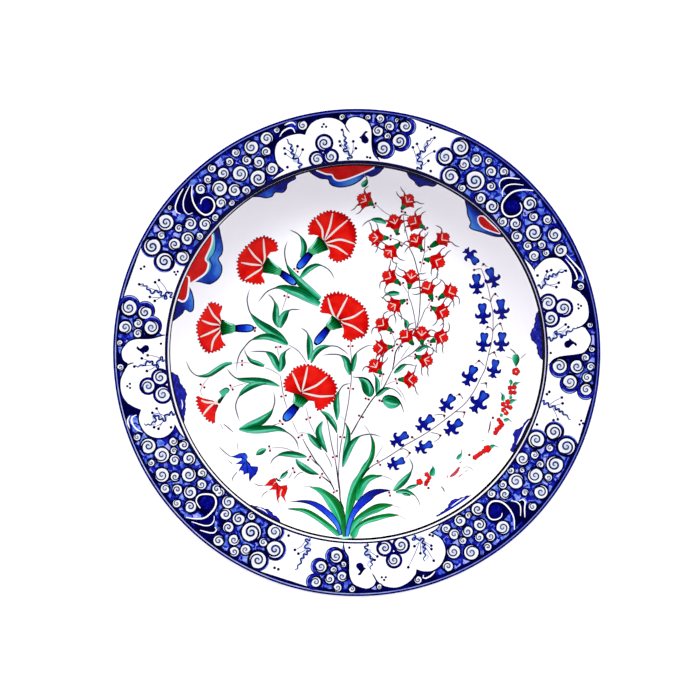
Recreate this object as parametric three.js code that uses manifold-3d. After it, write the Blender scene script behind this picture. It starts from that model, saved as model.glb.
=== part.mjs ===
// A hand painted ceramic wall plate: a thrown body on a turned foot ring, a white slip and a
// tin-white glaze on its face, a clear glaze on its back, and raised painted flowers and borders.
// Millimetres, +Z up. The origin is on the resting plane under the plate's centre, and the
// flowers grow from -Y towards +Y.
import * as THREE from "three";
import { mergeVertices } from "three/addons/utils/BufferGeometryUtils.js";
import Module from "manifold-3d";

const wasm = await Module();
wasm.setup();

// ---- driving dimensions ----
const PAINTED_RADIUS = 148; // where the flat rim ends and the rounded lip starts
const WELL_RADIUS = 115; // the crease between the cavetto and the rim
const FLOOR_RADIUS = 78;
const FLOOR_HEIGHT = 12;
const WELL_DEPTH = 28;
const RIM_RISE = 4; // from the crease to the lip
const BODY_UNDERSIDE = 6;
const FOOT_OUTER_RADIUS = 76;
const FOOT_INNER_RADIUS = 69;
const FOOT_GAP = 0.3;
const HANGING_HOLE_RADIUS = 1.5;
const HANGING_HOLE_HEIGHT = 3;
const HANGING_HOLE_ANGLES = [84, 96]; // degrees, either side of the top of the picture
const LAYER_GAP = 0.05;
const SLIP_THICKNESS = 0.45;
const GLAZE_THICKNESS = 0.5;
const BACK_GLAZE_THICKNESS = 0.45;
const PAINT_THICKNESS = 0.3;
const SEGMENTS = 48; // facets round the plate, the same for every layer so that they stay parallel
const CUT_HEIGHT = 80; // taller than the plate, for outlines that cut through it
const TURN = Math.PI * 2;
const DEGREE = Math.PI / 180;

// Depths below the painted surface.
const GLAZE_TOP = -LAYER_GAP;
const GLAZE_BOTTOM = GLAZE_TOP - GLAZE_THICKNESS;
const SLIP_TOP = GLAZE_BOTTOM - LAYER_GAP;
const SLIP_BOTTOM = SLIP_TOP - SLIP_THICKNESS;
const BODY_TOP = SLIP_BOTTOM - LAYER_GAP;

// Height of the painted surface at a radius: flat floor, curved cavetto, gently rising rim.
function faceHeight(radius) {
  const crease = FLOOR_HEIGHT + WELL_DEPTH;
  if (radius <= FLOOR_RADIUS) return FLOOR_HEIGHT;
  if (radius <= WELL_RADIUS) {
    const climb = (radius - FLOOR_RADIUS) / (WELL_RADIUS - FLOOR_RADIUS);
    return FLOOR_HEIGHT + WELL_DEPTH * climb * climb;
  }
  return crease + (RIM_RISE * (radius - WELL_RADIUS)) / (PAINTED_RADIUS - WELL_RADIUS);
}

const FACE_RADII = [0, FLOOR_RADIUS, 86, 94, 101, 108, WELL_RADIUS, PAINTED_RADIUS];
const LIP_START = [148.3, 42.85]; // where the back glaze meets the edge of the face glaze
const LIP = [
  [149.2, 42.7],
  [149.5, 41.8],
  [148.8, 40.8],
];
const BACK = [
  [146, 39.9],
  [134, 37.6],
  [124, 35.9],
  [117, 32],
  [109, 23.5],
  [99, 13.5],
  [89, 7.4],
  [80, BODY_UNDERSIDE],
];

// ---- materials ----
const paint = (color, roughness) => new THREE.MeshStandardMaterial({ color, roughness, metalness: 0 });
const MATERIALS = {
  clay: paint(0xd8c4ab, 0.85),
  slip: paint(0xf1ede4, 0.7),
  glaze: paint(0xf7f7f5, 0.12),
  cobalt: paint(0x15209a, 0.15),
  blue: paint(0x1f4fe0, 0.15),
  red: paint(0xd81208, 0.3),
  green: paint(0x12924a, 0.18),
  leafGreen: paint(0x1f9f70, 0.18),
  outline: paint(0x0c0d24, 0.2),
};

const plate = new THREE.Group();

function addPiece(name, geometry, material) {
  const piece = new THREE.Mesh(geometry, material);
  piece.name = name;
  plate.add(piece);
}

// ---- solids ----
// Turns a closed [radius, height] profile round the Z axis.
function revolve(profile) {
  const points = profile.map(([radius, height]) => new THREE.Vector2(radius, height));
  const geometry = new THREE.LatheGeometry(points, SEGMENTS);
  geometry.rotateX(Math.PI / 2);
  return geometry;
}

function toSolid(geometry) {
  const bare = new THREE.BufferGeometry();
  bare.setAttribute("position", geometry.getAttribute("position"));
  bare.setIndex(geometry.index);
  const merged = mergeVertices(bare, 1e-4);
  const triangles = [];
  for (let i = 0; i < merged.index.count; i += 3) {
    const [a, b, c] = [0, 1, 2].map((k) => merged.index.getX(i + k));
    if (a !== b && b !== c && c !== a) triangles.push(a, b, c);
  }
  return new wasm.Manifold(
    new wasm.Mesh({
      numProp: 3,
      vertProperties: merged.attributes.position.array,
      triVerts: new Uint32Array(triangles),
    }),
  );
}

function toGeometry(solid) {
  const mesh = solid.getMesh();
  const geometry = new THREE.BufferGeometry();
  geometry.setAttribute("position", new THREE.BufferAttribute(new Float32Array(mesh.vertProperties), 3));
  geometry.setIndex(new THREE.BufferAttribute(new Uint32Array(mesh.triVerts), 1));
  geometry.computeVertexNormals();
  return geometry;
}

// The closed profile of a layer that follows the painted surface between two depths.
function faceLayer(top, bottom, outerRadius) {
  const radii = FACE_RADII.filter((radius) => radius < outerRadius).concat(outerRadius);
  const lower = radii.map((radius) => [radius, faceHeight(radius) + bottom]);
  const upper = radii.map((radius) => [radius, faceHeight(radius) + top]);
  return [...lower, ...upper.reverse()];
}

// Moves an open profile sideways along its own normals.
function offsetProfile(profile, distance) {
  return profile.map(([radius, height], i) => {
    const [r0, h0] = profile[Math.max(i - 1, 0)];
    const [r1, h1] = profile[Math.min(i + 1, profile.length - 1)];
    const length = Math.hypot(r1 - r0, h1 - h0);
    return [radius - (distance * (h1 - h0)) / length, height + (distance * (r1 - r0)) / length];
  });
}

// ---- outlines, in plan ----
const toVectors = (points) => points.map(([x, y]) => new THREE.Vector2(x, y));
const polar = ([angle, radius]) => [radius * Math.cos(angle * DEGREE), radius * Math.sin(angle * DEGREE)];

function turned(points, angle) {
  const c = Math.cos(angle * DEGREE);
  const s = Math.sin(angle * DEGREE);
  return points.map(([x, y]) => [c * x - s * y, s * x + c * y]);
}

function disc([x, y], radius, sides) {
  return Array.from({ length: sides }, (_, i) => [
    x + radius * Math.cos((TURN * i) / sides),
    y + radius * Math.sin((TURN * i) / sides),
  ]);
}

// A brush leaf: pointed at both ends, widest a little before its middle.
function leaf(spine, width, steps = 7) {
  const curve = new THREE.SplineCurve(toVectors(spine));
  const left = [];
  const right = [];
  for (let i = 1; i < steps; i++) {
    const along = i / steps;
    const at = curve.getPointAt(along);
    const direction = curve.getTangentAt(along);
    const half = (width / 2) * Math.sin(Math.PI * Math.pow(along, 0.8));
    left.push([at.x - direction.y * half, at.y + direction.x * half]);
    right.push([at.x + direction.y * half, at.y - direction.x * half]);
  }
  return [spine[0], ...right, spine[spine.length - 1], ...left.reverse()];
}

// A brush line of one width.
function stroke(spine, width, steps) {
  const curve = new THREE.SplineCurve(toVectors(spine));
  const left = [];
  const right = [];
  for (let i = 0; i <= steps; i++) {
    const at = curve.getPointAt(i / steps);
    const direction = curve.getTangentAt(i / steps);
    left.push([at.x - (direction.y * width) / 2, at.y + (direction.x * width) / 2]);
    right.push([at.x + (direction.y * width) / 2, at.y - (direction.x * width) / 2]);
  }
  return [...right, ...left.reverse()];
}

function cutter(outline) {
  const shape = new THREE.Shape(toVectors(outline));
  return toSolid(new THREE.ExtrudeGeometry(shape, { depth: CUT_HEIGHT, bevelEnabled: false }));
}

const paintLayer = toSolid(revolve(faceLayer(PAINT_THICKNESS, 0, PAINTED_RADIUS)));

// A painted area: its outlines, joined, less its windows, cut out of the paint layer.
function painted(name, outlines, material, windows = []) {
  const joined = outlines.map(cutter).reduce((a, b) => a.add(b));
  const stencil = windows.map(cutter).reduce((a, b) => a.subtract(b), joined);
  addPiece(name, toGeometry(paintLayer.intersect(stencil)), material);
}

// ---- the fired plate ----
const bodyBack = [...LIP, ...BACK].reverse();
const bodyFace = FACE_RADII.map((radius) => [radius, faceHeight(radius) + BODY_TOP]).reverse();
addPiece("plate_body", revolve([[0, BODY_UNDERSIDE], ...bodyBack, ...bodyFace]), MATERIALS.clay);

const footTop = BODY_UNDERSIDE - FOOT_GAP;
const footProfile = [
  [FOOT_INNER_RADIUS, footTop],
  [FOOT_INNER_RADIUS + 0.8, 0.8],
  [FOOT_INNER_RADIUS + 1.6, 0],
  [FOOT_OUTER_RADIUS - 1.6, 0],
  [FOOT_OUTER_RADIUS - 0.8, 0.8],
  [FOOT_OUTER_RADIUS, footTop],
  [FOOT_INNER_RADIUS, footTop],
];
let footRing = toSolid(revolve(footProfile));
for (const angle of HANGING_HOLE_ANGLES) {
  const drill = new THREE.CylinderGeometry(HANGING_HOLE_RADIUS, HANGING_HOLE_RADIUS, 20, 10);
  const middle = polar([angle, (FOOT_INNER_RADIUS + FOOT_OUTER_RADIUS) / 2]);
  drill.rotateZ((angle - 90) * DEGREE);
  drill.translate(middle[0], middle[1], HANGING_HOLE_HEIGHT);
  footRing = footRing.subtract(toSolid(drill));
}
addPiece("foot_ring", toGeometry(footRing), MATERIALS.clay);

addPiece("face_slip", revolve(faceLayer(SLIP_TOP, SLIP_BOTTOM, PAINTED_RADIUS)), MATERIALS.slip);
addPiece("face_glaze", revolve(faceLayer(GLAZE_TOP, GLAZE_BOTTOM, PAINTED_RADIUS)), MATERIALS.glaze);

const backSkin = [LIP_START, ...LIP, ...BACK];
const backInner = offsetProfile(backSkin, LAYER_GAP);
const backOuter = offsetProfile(backSkin, LAYER_GAP + BACK_GLAZE_THICKNESS);
addPiece("back_glaze", revolve([...backInner, ...backOuter.reverse(), backInner[0]]), MATERIALS.glaze);

const recessTop = BODY_UNDERSIDE - LAYER_GAP;
const recessRadius = FOOT_INNER_RADIUS - FOOT_GAP;
addPiece(
  "recess_glaze",
  revolve([
    [0, recessTop - BACK_GLAZE_THICKNESS],
    [recessRadius, recessTop - BACK_GLAZE_THICKNESS],
    [recessRadius, recessTop],
    [0, recessTop],
  ]),
  MATERIALS.glaze,
);

// ---- rim border: one pattern, four times round ----
const QUARTERS = [0, 90, 180, 270];
const ring = (radius) => disc([0, 0], radius, SEGMENTS * 2);
const CLOUD = [
  [28.9, 118.4],
  [24.9, 119.6],
  [26.1, 128.2],
  [24.9, 135.5],
  [21.5, 139.2],
  [18, 138.1],
  [16.7, 136.5],
  [15.1, 140.7],
  [11.1, 143.9],
  [7.4, 140.7],
  [6.5, 137.4],
  [4.9, 141.6],
  [1.9, 142.1],
  [-1, 137.5],
  [-2.6, 129.5],
  [-2.8, 122],
  [-4.5, 118.4],
].map(polar);
const TREFOIL = [
  [12, 130.2],
  [14.4, 122.6],
  [9.6, 122.6],
].map(polar);
const TREFOIL_DISC_RADIUS = 5;

const EDGE_LINE_INNER = 146.2;
const BAND_OUTER = 145.2;
const BAND_INNER = 117.9;
const WELL_LINE_OUTER = 116.9;
const WELL_LINE_INNER = 113.7;
const clouds = QUARTERS.map((angle) => turned(CLOUD, angle));
painted("rim_edge_line", [ring(PAINTED_RADIUS + 1)], MATERIALS.cobalt, [ring(EDGE_LINE_INNER)]);
painted("rim_cobalt_band", [ring(BAND_OUTER)], MATERIALS.cobalt, [ring(BAND_INNER), ...clouds]);
painted("well_line", [ring(WELL_LINE_OUTER)], MATERIALS.outline, [ring(WELL_LINE_INNER)]);
QUARTERS.forEach((angle, i) => {
  const trefoil = TREFOIL.map((centre) => turned(disc(centre, TREFOIL_DISC_RADIUS, 12), angle));
  painted(`rim_trefoil_${i + 1}`, trefoil, MATERIALS.cobalt);
});

// ---- flowers that lean in from the well line ----
const WALL_PETALS = [
  ["left_rosette", "blue", 8, [[-83.5, 75], [-82, 66], [-84, 55], [-89, 46], [-100, 42]]],
  ["left_rosette_heart", "red", 6, [[-89.5, 66], [-92, 57.5], [-98, 49.5]]],
  ["left_small_petal", "red", 7, [[-103.5, 40], [-101, 32], [-106, 22]]],
  ["left_edge_petal", "cobalt", 6, [[-111, -12], [-106, -22], [-105.5, -33], [-103.5, -42]]],
  ["lower_left_petal", "cobalt", 4.5, [[-64, -92], [-54, -97], [-47, -102]]],
  ["lower_right_petal", "cobalt", 4, [[71, -86.5], [59, -91], [49, -100]]],
  ["right_edge_petal", "cobalt", 4.5, [[104, -41], [97, -50], [94.5, -60]]],
  ["right_upper_petal", "blue", 6, [[66, 91], [69.5, 79], [79, 74.5], [88, 70]]],
  ["top_right_petal", "blue", 5, [[33, 108], [39, 103], [49, 102]]],
  ["top_red_petal", "red", 6, [[-25, 109.5], [-9, 105.5], [7, 109.5]]],
  ["top_left_petal", "cobalt", 5, [[-40, 104.5], [-47, 99], [-60, 95]]],
];
for (const [name, colour, width, spine] of WALL_PETALS) {
  painted(name, [leaf(spine, width)], MATERIALS[colour]);
}

// ---- carnations: a fan of red petals on a green calyx and a blue tube ----
const CARNATIONS = [
  {
    head: [
      [-57, 53], [-58.3, 47.1], [-56.1, 43.3], [-60.1, 41.6], [-67.7, 43.1], [-71, 44.9], [-72.6, 50.3],
      [-72.6, 55.6], [-70.8, 60.5], [-66.8, 65], [-61.4, 69.2], [-56.1, 70.6], [-51.6, 69], [-48.5, 65.4],
      [-48.9, 61.4], [-52.5, 61.2], [-54.9, 58.3],
    ],
    calyx: [[-54.1, 57.5], [-56.9, 48.6], [-47.8, 46.9], [-46.7, 51.3]],
    tube: [[-46.2, 49], [-37.3, 41.5]],
  },
  {
    head: [
      [-20.5, 68.5], [-26.6, 72.2], [-28.6, 71.9], [-29.3, 75], [-27.9, 79.5], [-23.5, 83.3], [-18.1, 86.2],
      [-12.3, 85.7], [-7.9, 84.4], [-5.2, 82.1], [-1.6, 77.2], [-0.3, 72.8], [-0.7, 68.3], [-1.2, 64.7],
      [-2.9, 59.8], [-7.9, 56.3], [-12.3, 55.4], [-17.2, 57.9], [-16.3, 62.5],
    ],
    calyx: [[-23.6, 70.1], [-17.9, 62.4], [-24.8, 59.4], [-29.7, 62.5]],
    tube: [[-28.3, 60], [-36, 51.3]],
  },
  {
    head: [
      [-10.5, 19.5], [-16.6, 24], [-21.9, 24.2], [-21.7, 26.6], [-20.8, 30.6], [-16.3, 35.3], [-11, 36.2],
      [-6.1, 35.1], [-1.2, 32.6], [4.6, 27], [7, 20.5], [6.8, 14], [4.2, 9.2], [1.1, 8.8], [-3.4, 7],
      [-9, 9.2], [-7.7, 13.6],
    ],
    calyx: [[-14.8, 21.7], [-9.1, 15], [-15, 13.2], [-18.6, 16.8]],
    tube: [[-18, 14.1], [-25.3, 4.7]],
  },
  {
    head: [
      [-33.3, -24.7], [-43.1, -24.3], [-44.2, -19.8], [-43.1, -16.7], [-38.7, -10.9], [-34.2, -8.7],
      [-28.4, -8], [-23, -10], [-19, -13.1], [-15.9, -14.9], [-12.3, -22.1], [-13.7, -28.3], [-14.9, -30.1],
      [-22, -35.7], [-25, -34.2], [-26, -30.1],
    ],
    calyx: [[-37.8, -25.5], [-30, -29.8], [-33.5, -33.5], [-38.2, -30.5]],
    tube: [[-36.8, -32.7], [-44.2, -42.3]],
  },
  {
    head: [
      [-83.6, 15.5], [-83.8, 23], [-82, 27.1], [-89.6, 30.2], [-91.3, 27.9], [-95.8, 20.4], [-97.6, 16.5],
      [-97.1, 10.7], [-95.8, 4.9], [-90.9, -0.2], [-87.3, 0], [-80.4, 4.5], [-83.1, 9.8],
    ],
    calyx: [[-82.9, 19.6], [-82.9, 10.3], [-75.7, 11.6], [-75.7, 17]],
    tube: [[-75.2, 14.3], [-62.8, 14.4]],
  },
  {
    head: [
      [-86.4, -31.3], [-97.6, -26.8], [-96.7, -33], [-93.6, -38.4], [-91.3, -41.5], [-86.4, -43.8],
      [-86.4, -37.5], [-85, -32.6],
    ],
    calyx: [[-84.2, -24.6], [-79.7, -22.1], [-77.9, -23.2], [-82, -27.7], [-84.2, -30.6]],
  },
];
const TUBE_WIDTH = 4.8;
CARNATIONS.forEach(({ head, calyx, tube }, i) => {
  painted(`carnation_${i + 1}_petals`, [head], MATERIALS.red);
  painted(`carnation_${i + 1}_calyx`, [calyx], MATERIALS.green);
  if (tube) painted(`carnation_${i + 1}_tube`, [stroke(tube, TUBE_WIDTH, 1)], MATERIALS.blue);
});

// ---- the tuft of leaves that everything grows from ----
const TUFT = [
  { spine: [[-6.8, -100], [-6, -88], [0.5, -75], [8.4, -63.5], [8.7, -50]], width: 6, colour: "leafGreen" },
  { spine: [[2.6, -84], [4.6, -79.5], [9, -77], [15, -75.6]], width: 3.4, colour: "green" },
  { spine: [[-5.8, -110], [-2.4, -98.5], [5, -90], [12, -86.6], [20.3, -85]], width: 5, colour: "blue" },
  { spine: [[-2.6, -105], [2.5, -99.5], [12.2, -94.6], [22, -93.6]], width: 4, colour: "leafGreen" },
  { spine: [[-3, -111], [3, -105.5], [14.2, -100.8], [25, -100.2]], width: 3.6, colour: "leafGreen" },
  { spine: [[-8.4, -98], [-12.5, -89.5], [-17.9, -85], [-26, -82.8]], width: 5, colour: "green" },
  { spine: [[-8.9, -110.5], [-12, -101], [-20, -94.5], [-36, -90.8]], width: 5, colour: "blue" },
  { spine: [[-11.4, -111], [-16, -105.5], [-24, -100], [-38, -96]], width: 5, colour: "leafGreen" },
];
TUFT.forEach(({ spine, width, colour }, i) => {
  painted(`tuft_leaf_${i + 1}`, [leaf(spine, width)], MATERIALS[colour]);
});

// ---- two tulips, low on the left ----
const blueTulip = [
  leaf([[-69, -61], [-69, -70], [-72, -80]], 8),
  leaf([[-61, -69], [-67, -71], [-75, -74]], 8),
];
const redTulip = [
  leaf([[-44, -81], [-46.5, -87], [-48.5, -92]], 7.5),
  leaf([[-45, -84], [-50, -80], [-57, -82]], 6.5),
];
painted("blue_tulip", blueTulip, MATERIALS.blue);
painted("red_tulip", redTulip, MATERIALS.red);

// ---- three sprays, each one joined painting: stem, side stems and flowers ----
const STEM_WIDTH = 0.9;
const stemTo = (from, to) => stroke([from, to], STEM_WIDTH, 1);

const HYACINTH_STEM = [
  [9.5, -70.3], [20.3, -63.5], [36.4, -53.9], [53.6, -41.3], [68.8, -28.1], [76.9, -15], [81, -1.8],
  [83.5, 17.1], [82.5, 32.3], [80, 44.4], [75.9, 52.5],
];
const FLORETS = [
  { at: [70.8, 57.6], from: [76, 52.4] },
  { at: [74.4, 41.4], from: [80.8, 40] },
  { at: [78, 23.2], from: [83.2, 24] },
  { at: [89, 26.2], from: [83, 25] },
  { at: [77, 6], from: [82.3, 6] },
  { at: [88.5, 7], from: [82.3, 6] },
  { at: [71, -12], from: [77.6, -12] },
  { at: [85.5, -11], from: [77.6, -12] },
  { at: [75.9, -31], from: [68.5, -28.3] },
  { at: [56.5, -31.5], from: [63.5, -33] },
  { at: [59.2, -46.3], from: [53.5, -41.4] },
  { at: [42, -43.8], from: [46.5, -46.8] },
  { at: [44, -57.5], from: [38, -52.8] },
  { at: [27, -52], from: [27.5, -59.3] },
  { at: [24.8, -68.1], from: [20.5, -63.3] },
];
const FLORET_RADIUS = 3.8;
const florets = FLORETS.flatMap(({ at, from }) => [disc(at, FLORET_RADIUS, 7), stemTo(from, at)]);
painted("hyacinth_spray", [stroke(HYACINTH_STEM, STEM_WIDTH, 14), ...florets], MATERIALS.cobalt);

const ROSE_STEM = [
  [-3.5, -50.4], [3.1, -39.2], [11.1, -28.1], [17.7, -19], [22.3, -9.9], [29, 2], [36.4, 13.1],
  [38.8, 32.3], [37.4, 50.5], [33.4, 63.7], [29, 79], [31, 91],
];
const ROSEBUDS = [
  { at: [31.4, 92], from: [29, 79] },
  { at: [12.7, 70.2], from: [33, 64.8] },
  { at: [23.1, 79.3], from: [30.8, 71.5] },
  { at: [43, 65], from: [37.5, 49.5] },
  { at: [49.6, 55.1], from: [37.5, 49.5] },
  { at: [20.3, 45.4], from: [38.8, 32.3] },
  { at: [46, 39.4], from: [38.8, 32.3] },
  { at: [23.3, 28.2], from: [37.8, 22] },
  { at: [52.6, 24.7], from: [36.6, 13.6] },
  { at: [52.1, 9], from: [25.5, -3.6] },
  { at: [15.7, 16.6], from: [22.8, -9] },
  { at: [42.5, -5.4], from: [24.2, -6] },
  { at: [11.7, -8.4], from: [17.5, -19.2] },
  { at: [32.9, -17], from: [17.5, -19.2] },
];
const BUD_RADIUS = 4.4;
const rosebuds = ROSEBUDS.flatMap(({ at, from }) => [disc(at, BUD_RADIUS, 7), stemTo(from, at)]);
painted("rosebud_spray", [stroke(ROSE_STEM, STEM_WIDTH, 14), ...rosebuds], MATERIALS.red);

const BERRIES = [[95.6, -18], [91.5, -31], [86.5, -44.5], [80, -57.5], [65, -67.5], [48, -74.5], [38, -79]];
const berries = BERRIES.map((at) => disc(at, 2.6, 7));
const berryStem = stroke([[97.6, -7], ...BERRIES, [23, -85]], STEM_WIDTH, 14);
painted("berry_spray", [berryStem, ...berries], MATERIALS.red);

export default plate;
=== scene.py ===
import math
import random
from collections import namedtuple

import bpy
import numpy as np
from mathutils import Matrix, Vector
from mathutils.geometry import delaunay_2d_cdt


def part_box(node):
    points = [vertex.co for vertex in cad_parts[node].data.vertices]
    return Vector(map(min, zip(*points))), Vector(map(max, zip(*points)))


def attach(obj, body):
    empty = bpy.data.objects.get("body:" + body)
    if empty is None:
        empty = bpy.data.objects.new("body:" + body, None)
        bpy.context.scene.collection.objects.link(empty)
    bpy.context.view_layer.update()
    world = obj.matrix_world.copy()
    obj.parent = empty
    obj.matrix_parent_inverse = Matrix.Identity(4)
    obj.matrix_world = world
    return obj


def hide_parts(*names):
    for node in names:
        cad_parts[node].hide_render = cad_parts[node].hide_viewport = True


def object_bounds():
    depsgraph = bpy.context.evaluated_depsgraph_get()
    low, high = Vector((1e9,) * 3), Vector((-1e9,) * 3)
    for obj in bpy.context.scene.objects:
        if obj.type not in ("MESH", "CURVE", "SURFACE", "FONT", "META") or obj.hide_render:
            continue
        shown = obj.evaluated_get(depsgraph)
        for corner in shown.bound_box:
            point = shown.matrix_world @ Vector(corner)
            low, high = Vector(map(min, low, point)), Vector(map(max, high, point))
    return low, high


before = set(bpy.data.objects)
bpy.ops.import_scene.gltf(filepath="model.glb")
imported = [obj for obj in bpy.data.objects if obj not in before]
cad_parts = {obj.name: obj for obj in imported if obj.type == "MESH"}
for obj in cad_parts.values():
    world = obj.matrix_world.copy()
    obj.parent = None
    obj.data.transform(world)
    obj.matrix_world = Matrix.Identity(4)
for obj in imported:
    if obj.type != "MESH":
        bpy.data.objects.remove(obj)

# Every size below is in millimetres. The decoration is drawn flat, x to the right and y up, and then
# laid on the plate's face; a rim motif is placed by its angle in degrees and its radius.
MM = 0.001
BODY = "root"
cad_low, cad_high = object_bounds()
PLATE_RADIUS = (cad_high.x - cad_low.x) / 2 / MM
FACE_TOP = cad_high.z / MM
FOOT_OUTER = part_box("foot_ring")[1].x / MM
FOOT_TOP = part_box("foot_ring")[1].z / MM
RECESS_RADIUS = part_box("recess_glaze")[1].x / MM
RECESS_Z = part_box("recess_glaze")[0].z / MM

# ---------------------------------------------------------------- the plate's section
FLOOR_RADIUS = 78
FLOOR_Z = 12.3
WALL_RADIUS = 115
WALL_RISE = 28
RIM_SLOPE = 4 / 33
CREASE_START = 112
CREASE_END = 118.5
LIP_START = 147.4
LIP = [(148.6, 44.12), (149.45, 43.75), (149.92, 43.05), (150, 42.3), (149.7, 41.5), (149.1, 40.95),
       (148.2, 40.6)]


def wall_height(radius):
    """Height of the face up to the crease: a flat floor and a wall that rises as a parabola."""
    reach = np.clip((radius - FLOOR_RADIUS) / (WALL_RADIUS - FLOOR_RADIUS), 0, None)
    return FLOOR_Z + WALL_RISE * reach ** 2


def rim_height(radius):
    """Height of the face beyond the crease, where the rim rises as a shallow cone."""
    return FLOOR_Z + WALL_RISE + RIM_SLOPE * (radius - WALL_RADIUS)


def crease_height(radius):
    """A soft turn from the wall to the rim: one cubic with both slopes kept."""
    span = CREASE_END - CREASE_START
    start, end = wall_height(CREASE_START), rim_height(CREASE_END)
    start_slope = 2 * WALL_RISE * (CREASE_START - FLOOR_RADIUS) / (WALL_RADIUS - FLOOR_RADIUS) ** 2
    t = np.clip((radius - CREASE_START) / span, 0, 1)
    return (start * (2 * t ** 3 - 3 * t ** 2 + 1) + start_slope * span * (t ** 3 - 2 * t ** 2 + t)
            + end * (3 * t ** 2 - 2 * t ** 3) + RIM_SLOPE * span * (t ** 3 - t ** 2))


def face_height(radius):
    return np.where(radius < CREASE_START, wall_height(radius),
                    np.where(radius < CREASE_END, crease_height(radius), rim_height(radius)))


def catmull(points, closed=False, step=1.0):
    """A smooth line through the points, with a point about every step millimetres."""
    count = len(points)
    if count < 3:
        return [tuple(p) for p in points]
    line = []
    spans = count if closed else count - 1
    for i in range(spans):
        p1, p2 = points[i], points[(i + 1) % count]
        p0 = points[(i - 1) % count] if closed or i else (2 * p1[0] - p2[0], 2 * p1[1] - p2[1])
        last = i + 2 >= count and not closed
        p3 = (2 * p2[0] - p1[0], 2 * p2[1] - p1[1]) if last else points[(i + 2) % count]
        parts = max(1, round(math.dist(p1, p2) / step))
        for k in range(parts):
            t = k / parts
            line.append(tuple(
                0.5 * (2 * b + (c - a) * t + (2 * a - 5 * b + 4 * c - d) * t * t
                       + (3 * b - a - 3 * c + d) * t ** 3)
                for a, b, c, d in zip(p0, p1, p2, p3)))
    if not closed:
        line.append(tuple(points[-1]))
    return line


LIP_LINE = catmull([(LIP_START, float(rim_height(LIP_START)))] + LIP, step=0.45)
LIP_ALONG = [LIP_START]
for lip_a, lip_b in zip(LIP_LINE, LIP_LINE[1:]):
    LIP_ALONG.append(LIP_ALONG[-1] + math.dist(lip_a, lip_b))
FLAT_RADIUS = LIP_ALONG[-1]


def handmade(x, y):
    """The small unevenness of a hand-thrown plate, none at the middle and most at the lip."""
    radius = np.hypot(x, y) / PLATE_RADIUS
    angle = np.arctan2(y, x)
    sag = 0.16 * np.sin(2 * angle + 0.7) + 0.09 * np.sin(3 * angle + 2.1)
    return sag * radius ** 2


def on_face(x, y, lift=0.0):
    """Where flat points of the drawing lie on the plate, in millimetres, as three arrays."""
    flat = np.maximum(np.hypot(x, y), 1e-6)
    radius = np.where(flat < LIP_START, flat, np.interp(flat, LIP_ALONG, [p[0] for p in LIP_LINE]))
    height = np.where(flat < LIP_START, face_height(flat),
                      np.interp(flat, LIP_ALONG, [p[1] for p in LIP_LINE]))
    x3 = x / flat * radius
    y3 = y / flat * radius
    return np.stack([x3, y3, height + handmade(x3, y3) + lift], axis=-1)


# ---------------------------------------------------------------- drawing
WELL_EDGE = 113.7
TAPER = 0.4
# The piece of a rim shape follows from where it lies; BARE is the ground where nothing is painted.
RIM = "rim"
Shape = namedtuple("Shape", "outline colour piece shade lift")
BARE = Shape([], "white", "well_ground", 0.5, 0.0)
shapes = []


def area(outline):
    """The area inside an outline, negative if it runs clockwise."""
    return sum(a[0] * b[1] - b[0] * a[1] for a, b in zip(outline, outline[1:] + outline[:1])) / 2


def paint(outline, colour, piece, shade=0.5, lift=0.0):
    """Lays one flat patch of colour over everything drawn before it.

    Its shade, a number or a function of x and y, runs along the colour's stops from 0 to 1.
    """
    if area(outline) < 0:
        outline = outline[::-1]
    shapes.append(Shape(outline, colour, piece, shade, lift))


def plus(point, step):
    return (point[0] + step[0], point[1] + step[1])


def between(a, b, t):
    return (a[0] + (b[0] - a[0]) * t, a[1] + (b[1] - a[1]) * t)


def toward(point, goal, distance):
    return between(point, goal, distance / (math.dist(point, goal) or 1))


def polar(angle, radius):
    """The point at an angle in degrees and a distance from the plate's middle."""
    return (radius * math.cos(math.radians(angle)), radius * math.sin(math.radians(angle)))


def polars(points):
    return [polar(angle, radius) for angle, radius in points]


def circle(centre, radius, sides=0):
    sides = sides or max(10, round(10 + 4 * radius))
    return [plus(centre, polar(360 * i / sides, radius)) for i in range(sides)]


def normals(line, closed=False):
    """Unit vectors to the left of a line, one at each point."""
    count = len(line)
    out = []
    for i in range(count):
        a = line[(i - 1) % count] if closed else line[max(i - 1, 0)]
        b = line[(i + 1) % count] if closed else line[min(i + 1, count - 1)]
        dx, dy = b[0] - a[0], b[1] - a[1]
        size = math.hypot(dx, dy) or 1
        out.append((-dy / size, dx / size))
    return out


def beside(line, distances, closed=False):
    """The points of a line, each moved to its left by a distance of its own."""
    return [(x + nx * away, y + ny * away)
            for (x, y), (nx, ny), away in zip(line, normals(line, closed), distances)]


def both_sides(line, halves):
    """The outline round a line, from half its width at each point."""
    return beside(line, halves) + beside(line, [-half for half in halves])[::-1]


def ribbon(line, width, start=0.25, end=0.25):
    """A brush stroke along a line: full width in the middle, start and end times it at its ends."""
    last = len(line) - 1
    halves = []
    for i in range(last + 1):
        t = i / last
        swell = min(start + (1 - start) * math.sin(math.pi / 2 * min(1, t / TAPER)),
                    end + (1 - end) * math.sin(math.pi / 2 * min(1, (1 - t) / TAPER)))
        halves.append(width * swell / 2)
    return both_sides(line, halves)


def stroke(points, width, colour, piece, start=0.25, end=0.25, step=1.2, shade=0.5):
    """A brush stroke along the smooth line through the points."""
    paint(ribbon(catmull(points, step=step), width, start, end), colour, piece, shade)


def offset(outline, distance):
    """A closed outline moved outward by distance, or inward if it is negative."""
    outward = -distance if area(outline) > 0 else distance
    return beside(outline, [outward] * len(outline), closed=True)


def wandering(middle, swing=0.0, toward=0.0):
    """A ring's radius at an angle, where the turning brush ran off centre by swing toward one side."""
    return lambda angle: middle + swing * math.cos(math.radians(angle - toward))


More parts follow.
